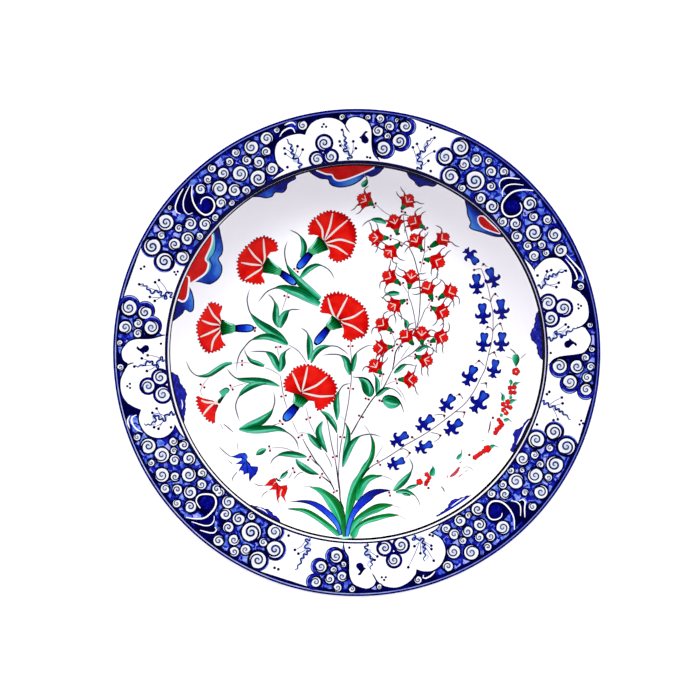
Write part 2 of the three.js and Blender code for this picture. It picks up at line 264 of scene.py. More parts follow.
def band(inner, outer, colour, shade=0.5):
    """A ring of colour between two radii, which are functions of the angle, drawn as four quarters."""
    for quarter in range(4):
        angles = [quarter * 90 - 45 + 90 * i / 72 for i in range(73)]
        outline = polars([(a, outer(a)) for a in angles]) + polars([(a, inner(a)) for a in angles[::-1]])
        paint(outline, colour, RIM, shade)


RIM_PIECES = ("rim_east", "rim_north", "rim_west", "rim_south")


def rim_piece(angle):
    return RIM_PIECES[int(((angle + 45) % 360) // 90)]


# ---------------------------------------------------------------- the rim: rock-and-wave border
# Each quarter holds a cluster of curled discs, a white gap, a field of curled discs with a scroll in it,
# and a white cloud with a trefoil of three discs. A disc is (angle, radius, size), every other point is
# (angle, radius). "gap" holds the corners and feet of the white gap; the discs beside it give the rest.
BORDER_INNER = 116.9
BORDER_OUTER = 145.9

QUARTERS = {
    "north_east": {
        "cluster": [(87.2, 143.2, 1.6), (84.2, 143.1, 2.4), (80.1, 143.4, 1.2), (81.7, 139.1, 2.8),
            (84.5, 135.5, 3.1), (81.8, 133, 1.9)],
        "cluster_edge": [(77.7, 140.9, 3.4), (78.5, 131.3, 4.2), (82.5, 125.2, 4.3)],
        "field_edge": [(63, 140.1, 4.7), (65.5, 130.8, 4.4), (61.9, 121.7, 5)],
        "field": [(58.1, 138.4, 3.2), (60.2, 131.8, 3.1), (55.3, 141.7, 2), (53.3, 137.3, 3.1),
            (50.7, 142.2, 2.5), (55.3, 127, 6), (50.9, 130.3, 2.6), (57.3, 118.9, 2.3), (51.1, 120.4, 3.2),
            (47, 121.4, 4), (40.6, 139.3, 3.9), (37.4, 135.9, 2.6), (34.7, 141.7, 2.6), (30.6, 140.4, 4.1),
            (26.5, 139.1, 3.9), (33.9, 130.3, 4.9), (30.1, 130.5, 2.5), (27.6, 130.5, 1.9),
            (38.9, 124.7, 3.3), (35.8, 120.6, 3.4), (31.8, 122.9, 2.6), (28.4, 123.2, 3.1),
            (41.8, 119.3, 2.9), (16.3, 142.4, 2.1), (6.6, 143.4, 1.6), (0.7, 143.6, 1.7)],
        "trefoil": [(12, 129.2, 4.5), (14.4, 120.9, 4.3), (9.8, 120.3, 4.3)],
        "lobes": [
            [(28.9, 117.1), (26.5, 118.6), (24, 119.5)],
            [(24.9, 119.9), (26.1, 128.2), (24.9, 135.5), (22.6, 138.4), (20.3, 139.3), (18, 138.1),
             (16.7, 136.5)],
            [(15.1, 140.7), (12.9, 143.4), (11.1, 143.9), (8.8, 143.1), (7.4, 140.7), (6.5, 137.4)],
            [(6, 140.1), (3.7, 142.9), (1.9, 142.1), (0, 138.8), (-0.6, 133.4), (-0.9, 128.1), (-1.3, 123.5),
             (-2.2, 120.2), (-4, 117)]],
        "cleft": [(6.5, 138.5), (6.3, 136.5), (6, 134.5)],
        "gap": [(77.7, 146.55), (83.4, 120.5), (84.4, 116.7), (61.5, 116.7), (63, 146.55)],
        "scroll_centre": (43.1, 129.5),
        "scroll": [
            [(46.7, 145), (48.7, 141.4), (49.8, 138.1), (49.8, 135.1), (49, 133.1)],
            [(45, 144), (46.7, 140.7), (47.8, 137.4), (48, 134.1), (47.5, 131.5), (46.7, 130.1)],
            [(42.4, 146), (43.9, 142.7), (45, 139.4), (45.7, 136.1), (45.9, 132.1), (45.7, 128.1),
             (45, 125.5), (43.9, 123.8), (42.7, 123.5), (41.6, 124.5), (40.7, 127.2), (40.4, 130.1),
             (40.8, 133.1), (41.7, 134.6), (42.4, 134.9)]],
        "flicks": [
            [(25, 141), (22, 143.5), (20, 145.3), (18.3, 145.7), (17.7, 144.5)],
            [(24, 139.5), (21.5, 141.5), (19.5, 142.2), (18.3, 141.7), (18.1, 139.8)]],
        "sprigs": [
            ([(19.9, 117.5), (19.3, 121.5), (20.6, 120.9), (20.7, 123.5), (21.5, 127), (20.6, 130),
             (22, 134.1), (21.3, 137.1)], [(21.2, 137), (22.8, 128.9), (23, 126.2), (18.9, 130.4),
             (18, 128.2), (22.9, 119.9)]),
            ([(4, 117), (3.7, 120.9), (5.5, 120.9), (5.4, 123.5), (4, 125.5), (5.7, 126.8), (5.25, 130.1),
             (6.4, 135.8)], [(7.5, 128.7), (6.7, 130.1)]),
            ([(71.6, 117.3), (70.6, 120.6), (72.4, 121.2), (71.2, 124), (72.6, 126.4), (71.2, 129.6),
             (71.8, 133), (70.4, 138.6)], [(70, 139.1), (68.8, 131.3), (69.4, 124.6), (73.8, 132.2),
             (74.6, 129.5), (67.7, 119.3)])],
        "dots": [(86.9, 119.1), (86, 118.8)],
        "triplets": [(11.6, 138.8), (72, 144)],
        "drops": [(2.3, 130.3), (87.9, 130.8)],
    },
    "north_west": {
        "cluster": [(177.8, 144.5, 1.6), (173.9, 141.9, 3.8), (175.1, 133.9, 2.5), (172.5, 134.4, 2.5)],
        "cluster_edge": [(169, 141.4, 4.7), (169.4, 131.3, 4), (173.2, 126, 4.3)],
        "field_edge": [(152.7, 140.3, 5.1), (154.7, 129.6, 5.1), (151.4, 120.7, 3.8)],
        "field": [(149.1, 138.7, 2.2), (145.8, 140.7, 4.8), (149.4, 129.1, 3.5), (146.1, 124.2, 3.8),
            (145.1, 132.2, 2.3), (142.3, 128.1, 3.6), (143.6, 119, 2.1), (139.8, 120.9, 3.6),
            (136.4, 118.9, 2.1), (142.3, 143.9, 1.3), (133.7, 137.6, 3.1), (130.75, 138.9, 2.4),
            (128.25, 142.6, 2.5), (126.7, 136, 3.3), (129.9, 130.3, 4.6), (132.2, 123, 3), (127, 123.7, 3.7),
            (129.95, 118.7, 1.8), (124.3, 119.4, 2.5), (123.8, 139.5, 2.4), (121.2, 142.2, 2.4),
            (123.1, 129.9, 4.6), (119.8, 134.9, 2.7), (119.5, 121.7, 4.9), (117.2, 140.5, 4.2),
            (117.3, 130.1, 3.4), (114.3, 134.1, 2.7), (112.8, 141.4, 3.8), (114.8, 123.1, 3.7),
            (109.8, 143.9, 1.7), (103.4, 142.2, 2.8), (93.5, 143.5, 1.7)],
        "trefoil": [(98.8, 129, 4.2), (101.6, 120.2, 3.7), (97.5, 120.2, 3.6)],
        "lobes": [
            [(116, 117.1), (114, 118.2), (111.6, 119.2)],
            [(111.8, 120.2), (112.6, 123.5), (112.7, 127.5), (112, 132.5), (110.6, 136.4), (108.3, 137.9),
             (106.3, 138), (104.6, 137.4), (103.3, 136)],
            [(102.6, 138.7), (101.1, 142.1), (99.4, 143.6), (97.4, 143.9), (95.4, 142.9), (93.7, 140.4),
             (92.8, 137.7)],
            [(92.5, 140), (91.7, 142.4), (90, 143.2), (88.3, 142), (87.1, 140), (86.4, 136.8), (86.1, 132.8),
             (86, 128.1), (85.6, 123.5), (84.8, 120), (83, 117)]],
        "cleft": [(92.9, 138.4), (92.4, 136), (91.7, 133.8)],
        "gap": [(168.6, 146.55), (174.4, 121), (175.5, 116.7), (151.2, 116.7), (152.7, 146.55)],
        "scroll_centre": (136.1, 128.8),
        "scroll": [
            [(136.7, 145.3), (138.8, 144.1), (141.2, 141.8), (142.1, 139), (141.9, 136.4)],
            [(134.9, 143.9), (137.2, 142.1), (139.2, 139.7), (140.5, 136.2), (140.7, 132.7), (139.7, 131.3)],
            [(134.6, 142.8), (136.3, 139.1), (137.6, 134.5), (138.2, 129.1), (137.8, 124.5), (136, 122.9),
             (134.2, 124.3), (133.4, 128.1), (134.1, 131.6), (135.4, 132.5), (136.5, 131.2)]],
        "flicks": [
            [(109.7, 139.4), (108.5, 141.7), (106.9, 142.7), (105.9, 141.7), (105.7, 139.1)],
            [(107.6, 145.2), (106.4, 145.6), (105.5, 145.2), (105.1, 143.4)]],
        "sprigs": [
            ([(107, 117.3), (106.7, 120.9), (108.2, 122.9), (106.9, 124.8), (108, 126.8), (107.4, 130.1),
             (108.3, 136.8)], [(109.5, 131.8), (109.8, 128.5), (106, 130.6), (104.9, 127.8),
             (110.5, 120.4)]),
            ([(92.4, 117.3), (91.7, 120.2), (93.4, 122.2), (92.2, 124.2), (93.2, 127.5), (93.2, 132),
             (93.75, 135.8)], [(93.75, 135.8), (94.6, 128.9), (94.5, 126.3), (90.9, 128.5), (90.2, 124.3)]),
            ([(163.5, 117.3), (162.2, 120.9), (164.2, 121.5), (163.9, 124.2), (162.9, 126.8), (163.9, 130.1),
             (162.6, 134.1), (163.1, 137.4), (162.6, 139.3)], [(165.1, 130.5), (165.8, 127), (160.9, 130.1),
             (160, 128.3), (162.7, 138.9)])],
        "dots": [(177.6, 119.5), (158.9, 141), (158.1, 139.6)],
        "triplets": [(98.2, 139.4), (156.3, 120.4)],
        "drops": [(179.3, 130.1)],
    },
    "south_west": {
        "cluster": [(268.9, 144.6, 1.9), (265.4, 144.2, 2.4), (263.25, 139.5, 2.8), (266.35, 137.3, 2.9),
            (264, 133.6, 1.8), (266.5, 129.8, 1.6)],
        "cluster_edge": [(259.95, 142.5, 3), (260.6, 132.8, 3.4), (264.3, 125.4, 3.8)],
        "field_edge": [(244.6, 140.5, 5.2), (247.55, 130.5, 5.2), (245.5, 120.5, 4.3)],
        "field": [(240.7, 138.4, 3), (238.5, 142.9, 2.9), (243.9, 129.3, 2.4), (236.9, 136.9, 3.2),
            (233.8, 142.6, 3.2), (239.7, 127.3, 6), (233.8, 132.6, 3.2), (234.75, 124.7, 3.7),
            (237.4, 118.9, 2.3), (231.1, 127.2, 3.3), (229.5, 120.5, 3.8), (225.7, 119.5, 2.8),
            (222.9, 138.4, 3.6), (220.1, 143.4, 2.4), (215.5, 143.4, 2.7), (217.5, 137.9, 2.9),
            (212.3, 140.5, 4.3), (208.35, 142.4, 2), (204.3, 139.4, 4.5), (201.2, 143.6, 2),
            (220.1, 132.8, 3.8), (214.5, 134.4, 2.6), (207.9, 134.4, 4.5), (210.7, 129.1, 3),
            (216.2, 126.8, 4.3), (220.55, 124.5, 2.9), (208.4, 126.7, 2), (206.1, 124.4, 2.5),
            (212.5, 121.1, 3.7), (218.1, 119.7, 2.7), (208.3, 119.7, 2.8), (224.4, 119.4, 2.7),
            (183.7, 144.4, 1.9)],
        "trefoil": [(189.3, 128.9, 4), (192.3, 121.1, 4.5), (187.4, 120.9, 4.2)],
        "lobes": [
            [(206.5, 116.9), (204.9, 118.2), (201.6, 119.3)],
            [(202.9, 121.5), (203.6, 124.8), (203.8, 128.8), (203.2, 132.8), (202, 136.1), (200.6, 138.1),
             (198.3, 139.1), (196.6, 138.4), (195, 136)],
            [(194, 139.4), (192.3, 143.4), (190, 145.4), (187.1, 145), (184.8, 142.1), (183.2, 139.4)],
            [(182.7, 140), (181.9, 142.4), (180, 143.2), (178.6, 141.4), (177.3, 138.4), (176.7, 134.1),
             (176.6, 130.1), (176.4, 125.5), (175.7, 120.9), (175, 117)]],
        "cleft": [(183.2, 139.8), (182.9, 138), (182.8, 135.8)],
        "gap": [(259.95, 146.55), (265.4, 121), (266.6, 116.7), (245.5, 116.7), (244.6, 146.55)],
        "scroll_centre": (225.1, 129.4),
        "scroll": [
            [(228.7, 144.7), (231, 142), (231.8, 140), (231.7, 138), (231, 137.4)],
            [(225.8, 144.4), (228.7, 140.9), (229.8, 138.1), (229.8, 134.8), (229, 132.5)],
            [(224.1, 145), (226.2, 141), (227.6, 136.6), (227.8, 130.1), (227.2, 126.2), (226.1, 124.2),
             (225, 123.8), (223.9, 125.2), (222.7, 128.1), (222.3, 130.8), (222.8, 133.4), (223.9, 134.4),
             (225, 134.8)]],
        "flicks": [
            [(200.6, 139.4), (199.2, 142.4), (197.4, 143.6), (196.2, 142.4), (196, 139.7)],
            [(198.6, 146), (197.4, 146.1), (196.5, 145.6), (195.7, 143.7)]],
        "sprigs": [
            ([(198.7, 117.3), (198.2, 121), (199.6, 124.5), (198, 127), (197.4, 130.1), (199.7, 130.8),
             (199, 135.8), (198.8, 137.1)], [(200.4, 131.8), (201.2, 129.6), (196.6, 130), (195.8, 126.8),
             (202.1, 122.2)]),
            ([(182.5, 117.3), (181.9, 120.2), (184.2, 122.2), (182.5, 126.8), (183.6, 131), (183.75, 135.9)],
             [(183.75, 135.9), (181.7, 131.1), (185.2, 128.5), (180.9, 127.5)]),
            ([(255.9, 117.3), (254.9, 118.9), (256.5, 120.9), (255, 123.5), (256.5, 124.6), (255.6, 126.8),
             (255.2, 132), (254.4, 138.4)], [(253.9, 128.1), (252.7, 126.5), (250.2, 140.9), (249.2, 140.9),
             (249.7, 119.5)])],
        "dots": [(267.9, 119.5)],
        "triplets": [(188.5, 140.4)],
        "drops": [],
    },
    "south_east": {
        "cluster": [(358.6, 139.6, 2.2), (356.4, 143.2, 2.2), (353.7, 141.5, 2.8), (356.2, 134.8, 4)],
        "cluster_edge": [(350.7, 141.9, 3.4), (352, 131.5, 4.2), (356, 124.3, 4.4)],
        "field_edge": [(335.75, 140.5, 5.2), (338, 130, 4.6), (334, 122.05, 4.9)],
        "field": [(330.4, 139.1, 5.1), (326.8, 139.9, 2.2), (322.8, 141.3, 4.1), (318.7, 142.9, 2.4),
            (333.6, 131.6, 2.1), (328.5, 131.3, 2.1), (325.3, 132.6, 4.5), (320.2, 133.9, 1.9),
            (330, 125.6, 2.3), (321, 125.2, 4.6), (324.55, 124.2, 1.5), (327.2, 120.4, 3.8),
            (322.5, 118.7, 2), (317.8, 120.5, 2.4), (316.2, 125.4, 2.8), (309.8, 139.4, 4),
            (306, 139.1, 2.7), (303.95, 143.2, 2.4), (303.5, 135.6, 2.6), (299.8, 140.9, 4.5),
            (293.1, 142.1, 3.1), (295.9, 135.6, 4), (299.4, 132.1, 2.1), (305.5, 129.5, 3.6),
            (301.7, 128.9, 3.2), (298.2, 126.2, 3), (307.6, 121.1, 3.7), (304.4, 120.9, 1.8),
            (301.5, 120.7, 3.4), (296.9, 120.9, 2.6), (313.6, 119.4, 2.4), (285.1, 144, 2.2),
            (275.6, 143.9, 1.5)],
        "trefoil": [(280.2, 129.1, 3.7), (283, 121, 4.1), (278.2, 120.9, 3.9)],
        "lobes": [
            [(295.5, 117), (294.4, 118.2), (292, 118.9)],
            [(292.9, 120.9), (294.2, 124.8), (294.4, 129.5), (293.8, 134.1), (292.3, 138.1), (290.9, 140.2),
             (288.9, 141.1), (286.9, 139.7), (285.4, 137.4)],
            [(284.9, 140.1), (283.1, 143.4), (281.1, 145.2), (279.1, 145.5), (276.8, 143.7), (275.4, 140.7),
             (274.8, 138.1)],
            [(274.8, 140.1), (274.2, 142.7), (272.5, 144.4), (270, 142.5), (268.9, 140.1), (268.2, 135.4),
             (268.1, 130.1), (267.8, 124.8), (266.8, 121.5), (266.2, 117)]],
        "cleft": [(274.9, 140), (274.5, 137.5), (274, 135.4)],
        "gap": [(350.7, 146.55), (357.2, 120.5), (358.4, 116.7), (334, 116.7), (335.75, 146.55)],
        "scroll_centre": (311.3, 128.7),
        "scroll": [
            [(315.5, 144), (316.9, 140.4), (318.4, 137.4), (318.2, 135.1), (317.5, 134.6)],
            [(315, 141.5), (316.7, 137.4), (316.9, 134.1), (316.1, 130.8)],
            [(311.6, 145), (313.3, 140.1), (314.1, 135.4), (314.3, 130.8), (313.9, 126.8), (312.7, 123.8),
             (311.6, 123), (310.3, 123.8), (309.1, 126.5), (308.7, 129.5), (309.1, 131.8), (310.1, 133.4),
             (311.3, 133.8), (312.1, 132.5)]],
        "flicks": [[(289.7, 142.1), (288.5, 143.7), (287, 144.4), (286.4, 143.6), (286.7, 142.1)]],
        "sprigs": [
            ([(287.4, 117.3), (286.9, 119.9), (289.3, 119.9), (288.3, 122.2), (289.4, 123.5), (288.6, 126.2),
             (288.9, 130.8), (289.4, 132.3), (287.9, 134.2)], [(290.3, 135.8), (290.8, 128.7),
             (291.1, 126.7), (287.6, 128.9), (286.6, 123.7), (292.5, 121.5), (291.8, 120.2),
             (283.5, 135.1)]),
            ([(273.1, 117.3), (272.4, 120), (274, 121.6), (272.6, 124), (274.2, 126.6), (273, 129.6),
             (273.7, 133.1)], [(275.8, 125.4), (275, 127.4)]),
            ([(345.1, 117.3), (344.6, 121), (344.3, 125.5), (343.5, 131.5), (342.4, 137.1)], [(347.5, 128.3),
             (346, 129.6), (341.5, 129.5), (340.9, 127.2), (348.3, 120.1), (347.5, 119), (338.1, 118.7)])],
        "dots": [(359.7, 118.5)],
        "triplets": [(276.9, 139.1), (342.5, 143.8)],
        "drops": [(271.1, 132.1)],
    },
}


def discs_of(quarter):
    """Every curled disc of a quarter but its trefoil."""
    return quarter["cluster"] + quarter["cluster_edge"] + quarter["field_edge"] + quarter["field"]


SCROLL_ROOM = 6.8
KEPT_CLEAR = [(polar(a, r), size) for quarter in QUARTERS.values() for a, r, size in
              discs_of(quarter) + [(*quarter["scroll_centre"], SCROLL_ROOM)]]
CLEAR_XY = np.array([centre for centre, _ in KEPT_CLEAR])
CLEAR_SIZE = np.array([size for _, size in KEPT_CLEAR])


def clearance(points):
    """How far each point lies from the nearest disc or scroll, or from the border's own edges."""
    away = np.hypot(points[:, None, 0] - CLEAR_XY[:, 0], points[:, None, 1] - CLEAR_XY[:, 1]) - CLEAR_SIZE
    radius = np.hypot(points[:, 0], points[:, 1])
    edge = np.minimum(radius - BORDER_INNER, BORDER_OUTER - radius) + 0.3
    return np.minimum(away.min(axis=1), edge)


SMALLEST_GAP = 0.7


def gaps():
    """The middles of the open spaces between discs, with their room, the widest first."""
    grid = np.array(polars([(angle, radius) for angle in np.arange(0, 360, 0.35)
                            for radius in np.arange(BORDER_INNER + 0.5, BORDER_OUTER - 0.3, 0.6)]))
    room = clearance(grid)
    found = []
    while room.max() > SMALLEST_GAP:
        i = int(room.argmax())
        found.append((grid[i], float(room[i])))
        room[np.hypot(*(grid - grid[i]).T) < 1.2 * room[i] + 0.7] = 0
    return found


def brushed(middle, margin, reach):
    """The free space round a point, as far as the dark edge that each disc keeps."""
    outline = []
    steps = np.arange(0, reach, 0.12)
    sides = 20
    for k in range(sides):
        turn = 360 * (k + random.uniform(-0.3, 0.3)) / sides
        free = clearance(middle + np.outer(steps, polar(turn, 1))) > margin
        stop = steps[-1] if free.all() else steps[int(free.argmin())]
        outline.append(plus(middle, polar(turn, max(0.15, stop * random.uniform(0.78, 1.0)))))
    return outline


DISC_EDGE = 0.75
WASH_TONE = 0.4
DAB_CHANCE = 0.88
DAB_TONES = (0.6, 0.66, 0.72, 0.78, 0.84, 0.98)
STREAK_TONE = 0.88
STREAK_ROOM = 1.3


def brush_ground():
    """Blue washed into the dark ground, with a brighter dab in most of the gaps and streaks in the widest."""
    for middle, room in gaps():
        paint(brushed(middle, DISC_EDGE, 5.5), "cobalt", RIM, WASH_TONE)
        if random.random() < DAB_CHANCE:
            tone = random.choice(DAB_TONES)
            paint(brushed(middle, min(1.5, 0.6 * room + 0.3), 4.0), "cobalt", RIM, tone)
        if room > STREAK_ROOM:
            lean = random.uniform(0, 180)
            for row in (-1, 0, 1):
                centre = plus(middle, polar(lean + 90, 0.75 * row))
                streak = [plus(centre, polar(lean, 0.8 * room * k)) for k in (-1, 0, 1)]
                stroke(streak, 0.34, "cobalt", RIM, shade=STREAK_TONE)


def surround(quarter):
    """The dark ground painted round each disc, wider where it scallops the white gap."""
    for group, shift, margin in (("cluster_edge", -0.42, 2.1), ("field_edge", 0.14, 1.6)):
        for angle, radius, size in quarter[group]:
            paint(circle(polar(angle + shift, radius), size + margin), "navy", RIM, 0.3)
        for angle, radius, size in quarter[group]:
            centre, facing = polar(angle + shift, radius), angle + math.copysign(90, shift)
            paint(circle(centre, size + margin - 0.55), "cobalt", RIM, 0.42)
            paint(circle(polar(angle - shift / 2, radius), size + 0.9), "navy", RIM, 0.1)
            glint = [plus(centre, polar(facing + turn, size + 1.3)) for turn in range(-48, 49, 12)]
            paint(ribbon(glint, 0.55, 0.1, 0.1), "cobalt", RIM, 0.92)
    for angle, radius, size in quarter["cluster"] + quarter["field"]:
        paint(circle(polar(angle, radius), size + DISC_EDGE), "navy", RIM, 0.2)
    for angle, radius, size in quarter["trefoil"]:
        paint(circle(polar(angle, radius), size + 1.5), "navy", RIM)
        paint(circle(polar(angle, radius), size + 1.05), "cobalt", RIM, 0.12)


def curl(angle, radius, size, hand):
    """A white disc with one dark line that winds in from its edge and grows paler."""
    centre = polar(angle, radius)
    edge = size * 0.95

    def out(x, y):
        return math.dist((x, y), centre) / edge
    paint(circle(centre, edge), "curl_white", RIM, lambda x, y: 0.24 + 0.74 * out(x, y))
    turns = 0.95 + 0.14 * size
    start = random.uniform(0, 360)
    steps = round(turns * 15)
    line = []
    for i in range(steps + 1):
        t = i / steps
        line.append(plus(centre, polar(start + hand * turns * 360 * t, edge * (1.08 - 0.97 * t ** 0.64))))
    ink = random.uniform(-0.35, 0.1)
    width = (0.36 + 0.13 * size) * random.uniform(0.9, 1.15)
    paint(ribbon(line, width, 1.0, 0.55), "curl_line", RIM, lambda x, y: ink + 0.8 * (1 - out(x, y)))


def scroll(quarter):
    """The curled leaf in the middle of a field: dark, with three white lines."""
    angle, radius = quarter["scroll_centre"]
    outer, _, inner = lines = [polars(line) for line in quarter["scroll"]]
    paint(catmull(outer + inner[4:8] + inner[:3][::-1]), "navy", RIM)
    paint(circle(polar(angle, radius), 6.3), "navy", RIM)
    paint(circle(polar(angle, radius + 0.5), 3.9), "cobalt", RIM, 0.24)
    for line, width in zip(lines, (0.75, 0.65, 0.95)):
        stroke(line, width, "white", RIM, 0.5, 0.5)


def gap(quarter):
    """The white gap between the cluster and the field, whose discs scallop its two sides."""
    first, *feet, last = quarter["gap"]
    sides = [[disc[:2] for disc in quarter[group]] for group in ("cluster_edge", "field_edge")]
    paint(polars([first] + sides[0] + feet + sides[1][::-1] + [last]), "white", RIM)


def cloud(quarter):
    """The white cloud: four lobes that meet in cusps, on a dark line."""
    lobes = quarter["lobes"]
    outline = [point for lobe in lobes for point in catmull(polars(lobe), step=1.4)]
    start, end = lobes[0][0][0], lobes[-1][-1][0]
    outline += [polar(end + (start - end) * i / 12, BORDER_INNER) for i in range(1, 12)]
    paint(offset(outline, 0.95), "navy", RIM)
    paint(outline, "white", RIM)
    stroke(polars(quarter["cleft"]), 0.9, "navy", RIM, 0.9, 0.2)


def dot(centre, size, colour, piece):
    paint(circle(centre, size, 9), colour, piece)


# Only the berries above this radius, and within this angle of the twig's foot, hang on side twigs.
BERRY_TWIG_RADIUS = 123
BERRY_TWIG_ANGLE = 4.2
SIDE_TWIG_LENGTH = 9


def sprig(snake, berries):
    """A blue twig that climbs in small waves, with thin pale side twigs that end in dots."""
    stem = catmull(polars(snake), step=0.9)
    for angle, radius in berries:
        if radius < BERRY_TWIG_RADIUS or abs(angle - snake[0][0]) > BERRY_TWIG_ANGLE:
            continue
        end = polar(angle, radius)
        root = min(stem[: len(stem) // 2], key=lambda p: abs(math.dist(p, end) - SIDE_TWIG_LENGTH))
        middle = plus(between(root, end, 0.5), (random.uniform(-0.9, 0.9), random.uniform(-0.9, 0.9)))
        stroke([root, middle, end], 0.45, "twig_blue", RIM, 0.9, 0.5, shade=0.1)
    paint(ribbon(stem, 1.7, 0.7, 0.1), "pale_blue", RIM)
    smooth = catmull([stem[0]] + stem[4:-3:6] + [stem[-1]], step=0.4)
    swings = [(1.35 - 0.9 * i / len(smooth)) * math.sin(0.75 * i + math.sin(0.21 * i))
              for i in range(len(smooth))]
    paint(ribbon(beside(smooth, swings), 1.1, 0.9, 0.45), "twig_blue", RIM, 0.1)
    for angle, radius in berries:
        dot(polar(angle, radius), 0.95, "navy", RIM)


def drop(angle, radius):
    """A dark comma with its point turned over to one side."""
    outline = [(-0.35, 4.3), (0.35, 3), (1, 1.2), (1.75, 0.1), (1.05, -0.8), (0.85, -2.4), (-0.15, -3.6),
        (-1.3, -2.8), (-1.45, -0.8), (-0.7, 0.8), (-0.25, 2.2), (-1.05, 3.6)]
    paint(catmull(polars([(angle + a * 0.82, radius + r) for a, r in outline]), True), "navy", RIM)


# The white line between the well and the border: half its width at some angles.
WHITE_LINE_AT = (0, 45, 62, 72, 125, 138, 185, 320, 334, 360)
WHITE_LINE_HALF = (0.26, 0.22, 0.2, 0.04, 0.05, 0.4, 0.46, 0.46, 0.3, 0.26)


def white_line(side):
    """One edge of the white line, which runs a little off centre and thins toward the upper right."""
    middle = wandering(115.15, 0.45, 315)
    return lambda angle: middle(angle) + side * np.interp(angle % 360, WHITE_LINE_AT, WHITE_LINE_HALF)


# The thin pale line near the lip runs a little off centre, toward the lower right.
LIGHT_INNER = 146.95
LIGHT_OUTER = 147.5
EDGE_LINE = 148.7
LIGHT_SIDE = 290


def rim():
    """The whole border, from its ground up to its dots, with the lines that bound it."""
    light_inner, light_outer = (wandering(radius, 0.4, LIGHT_SIDE) for radius in (LIGHT_INNER, LIGHT_OUTER))
    band(wandering(BORDER_INNER), wandering(BORDER_OUTER), "navy")
    brush_ground()
    band(wandering(BORDER_OUTER - 0.1), light_inner, "navy")
    band(light_inner, light_outer, "rim_light", lambda x, y: 0.42 - (x + y) / 650)
    band(light_outer, wandering(EDGE_LINE, 0.35, LIGHT_SIDE), "navy", 0.85)
    for quarter in QUARTERS.values():
        gap(quarter)
    for quarter in QUARTERS.values():
        cloud(quarter)
    for quarter in QUARTERS.values():
        surround(quarter)
        scroll(quarter)
        for flick in quarter["flicks"]:
            stroke(polars(flick), 0.9, "white", RIM, 0.25, 0.5)
        for i, (angle, radius, size) in enumerate(discs_of(quarter) + quarter["trefoil"]):
            curl(angle, radius, size, 1 if i % 3 else -1)
        for snake, berries in quarter["sprigs"]:
            sprig(snake, berries)
        for angle, radius in quarter["dots"]:
            dot(polar(angle, radius), 0.85, "navy", RIM)
        for angle, radius in quarter["triplets"]:
            for side, rise in ((-0.5, -0.75), (0.5, -0.5), (0.0, 1.0)):
                dot(polar(angle + side, radius + rise), 0.8, "navy", RIM)
        for angle, radius in quarter["drops"]:
            drop(angle, radius)
    band(white_line(1), wandering(BORDER_INNER + 0.15), "navy")
    band(white_line(-1), white_line(1), "ring_light", lambda x, y: 0.9 - (x + y) / 200)
    band(wandering(WELL_EDGE), white_line(-1), "black")


# ---------------------------------------------------------------- the well: flowers, leaves and stems
# Each brushed line of the well is a list of (x, y) points, from its root to its tip.
def local(origin, direction, points):
    """Points given as (across, along) a flower's own direction, placed on the plate."""
    along = polar(direction, 1)
    return [(origin[0] + u * along[1] + v * along[0], origin[1] - u * along[0] + v * along[1])
            for u, v in points]


def mirrored(half):
    """A whole outline from its right half, which starts and ends on the middle line."""
    return half + [(-u, v) for u, v in half[-2:0:-1]]


def across_shade(line, half_width, dark):
    """0 on a leaf's dark edge, 1 on its pale edge, and darker toward its tip."""
    points = np.array(line)
    sides = np.array(normals(line))

    def shade(x, y):
        away = np.hypot(points[:, 0] - x, points[:, 1] - y)
        i = int(away.argmin())
        side = ((x - points[i, 0]) * sides[i, 0] + (y - points[i, 1]) * sides[i, 1]) / max(half_width[i], 0.3)
        side = min(1, max(-1, side))
        return 0.46 - 0.40 * dark * side - 0.38 * (i / len(line) - 0.42)
    return shade


def tail_line(line, piece, width=0.85):
    """The thin line on from a leaf's tip: dark where it leaves the leaf, grey and fine at its end."""
    root, reach = line[0], math.dist(line[0], line[-1])
    paint(ribbon(line, width, 1.0, 0.15), "tail", piece,
          lambda x, y: 0.1 + 0.9 * math.dist((x, y), root) / reach)


def leaf(points, width, dark=1, tail=0.28, root=0.18, piece="leaf_sprays", edge=True):
    """One leaf: dark along one side, paler along the other, with a thin line on from its tip."""
    line = catmull(points, step=1.0)
    cut = max(3, round(len(line) * (1 - tail)))
    if tail:
        tail_line(line[cut - 2:], piece, min(0.85, 0.25 + 0.16 * width))
    spine = line[:cut + 1]
    last = len(spine) - 1
    half = [width / 2 * max(0.10, abs(math.sin(math.pi * (root + (1 - root) * i / last))) ** 0.9)
            for i in range(last + 1)]
    paint(both_sides(spine, half), "leaf", piece, across_shade(spine, half, dark))
    if not edge:
        return
    for side, thick, tone in ((0.45, 0.26, 0.1), (-0.35, 0.2, 0.85), (0.02, 0.1, 0.2)):
        streak = beside(spine, [h * side * dark for h in half])[last // 5:last - last // 5]
        if len(streak) > 3:
            paint(ribbon(streak, thick * width, 0.1, 0.1), "leaf", piece, tone)
    for side, thick, tone in ((dark, 0.45, 0.5), (-dark, 0.28, 0.9)):
        paint(ribbon(beside(spine, [h * side for h in half]), thick, 0.5, 0.9), "leaf_line", piece, tone)


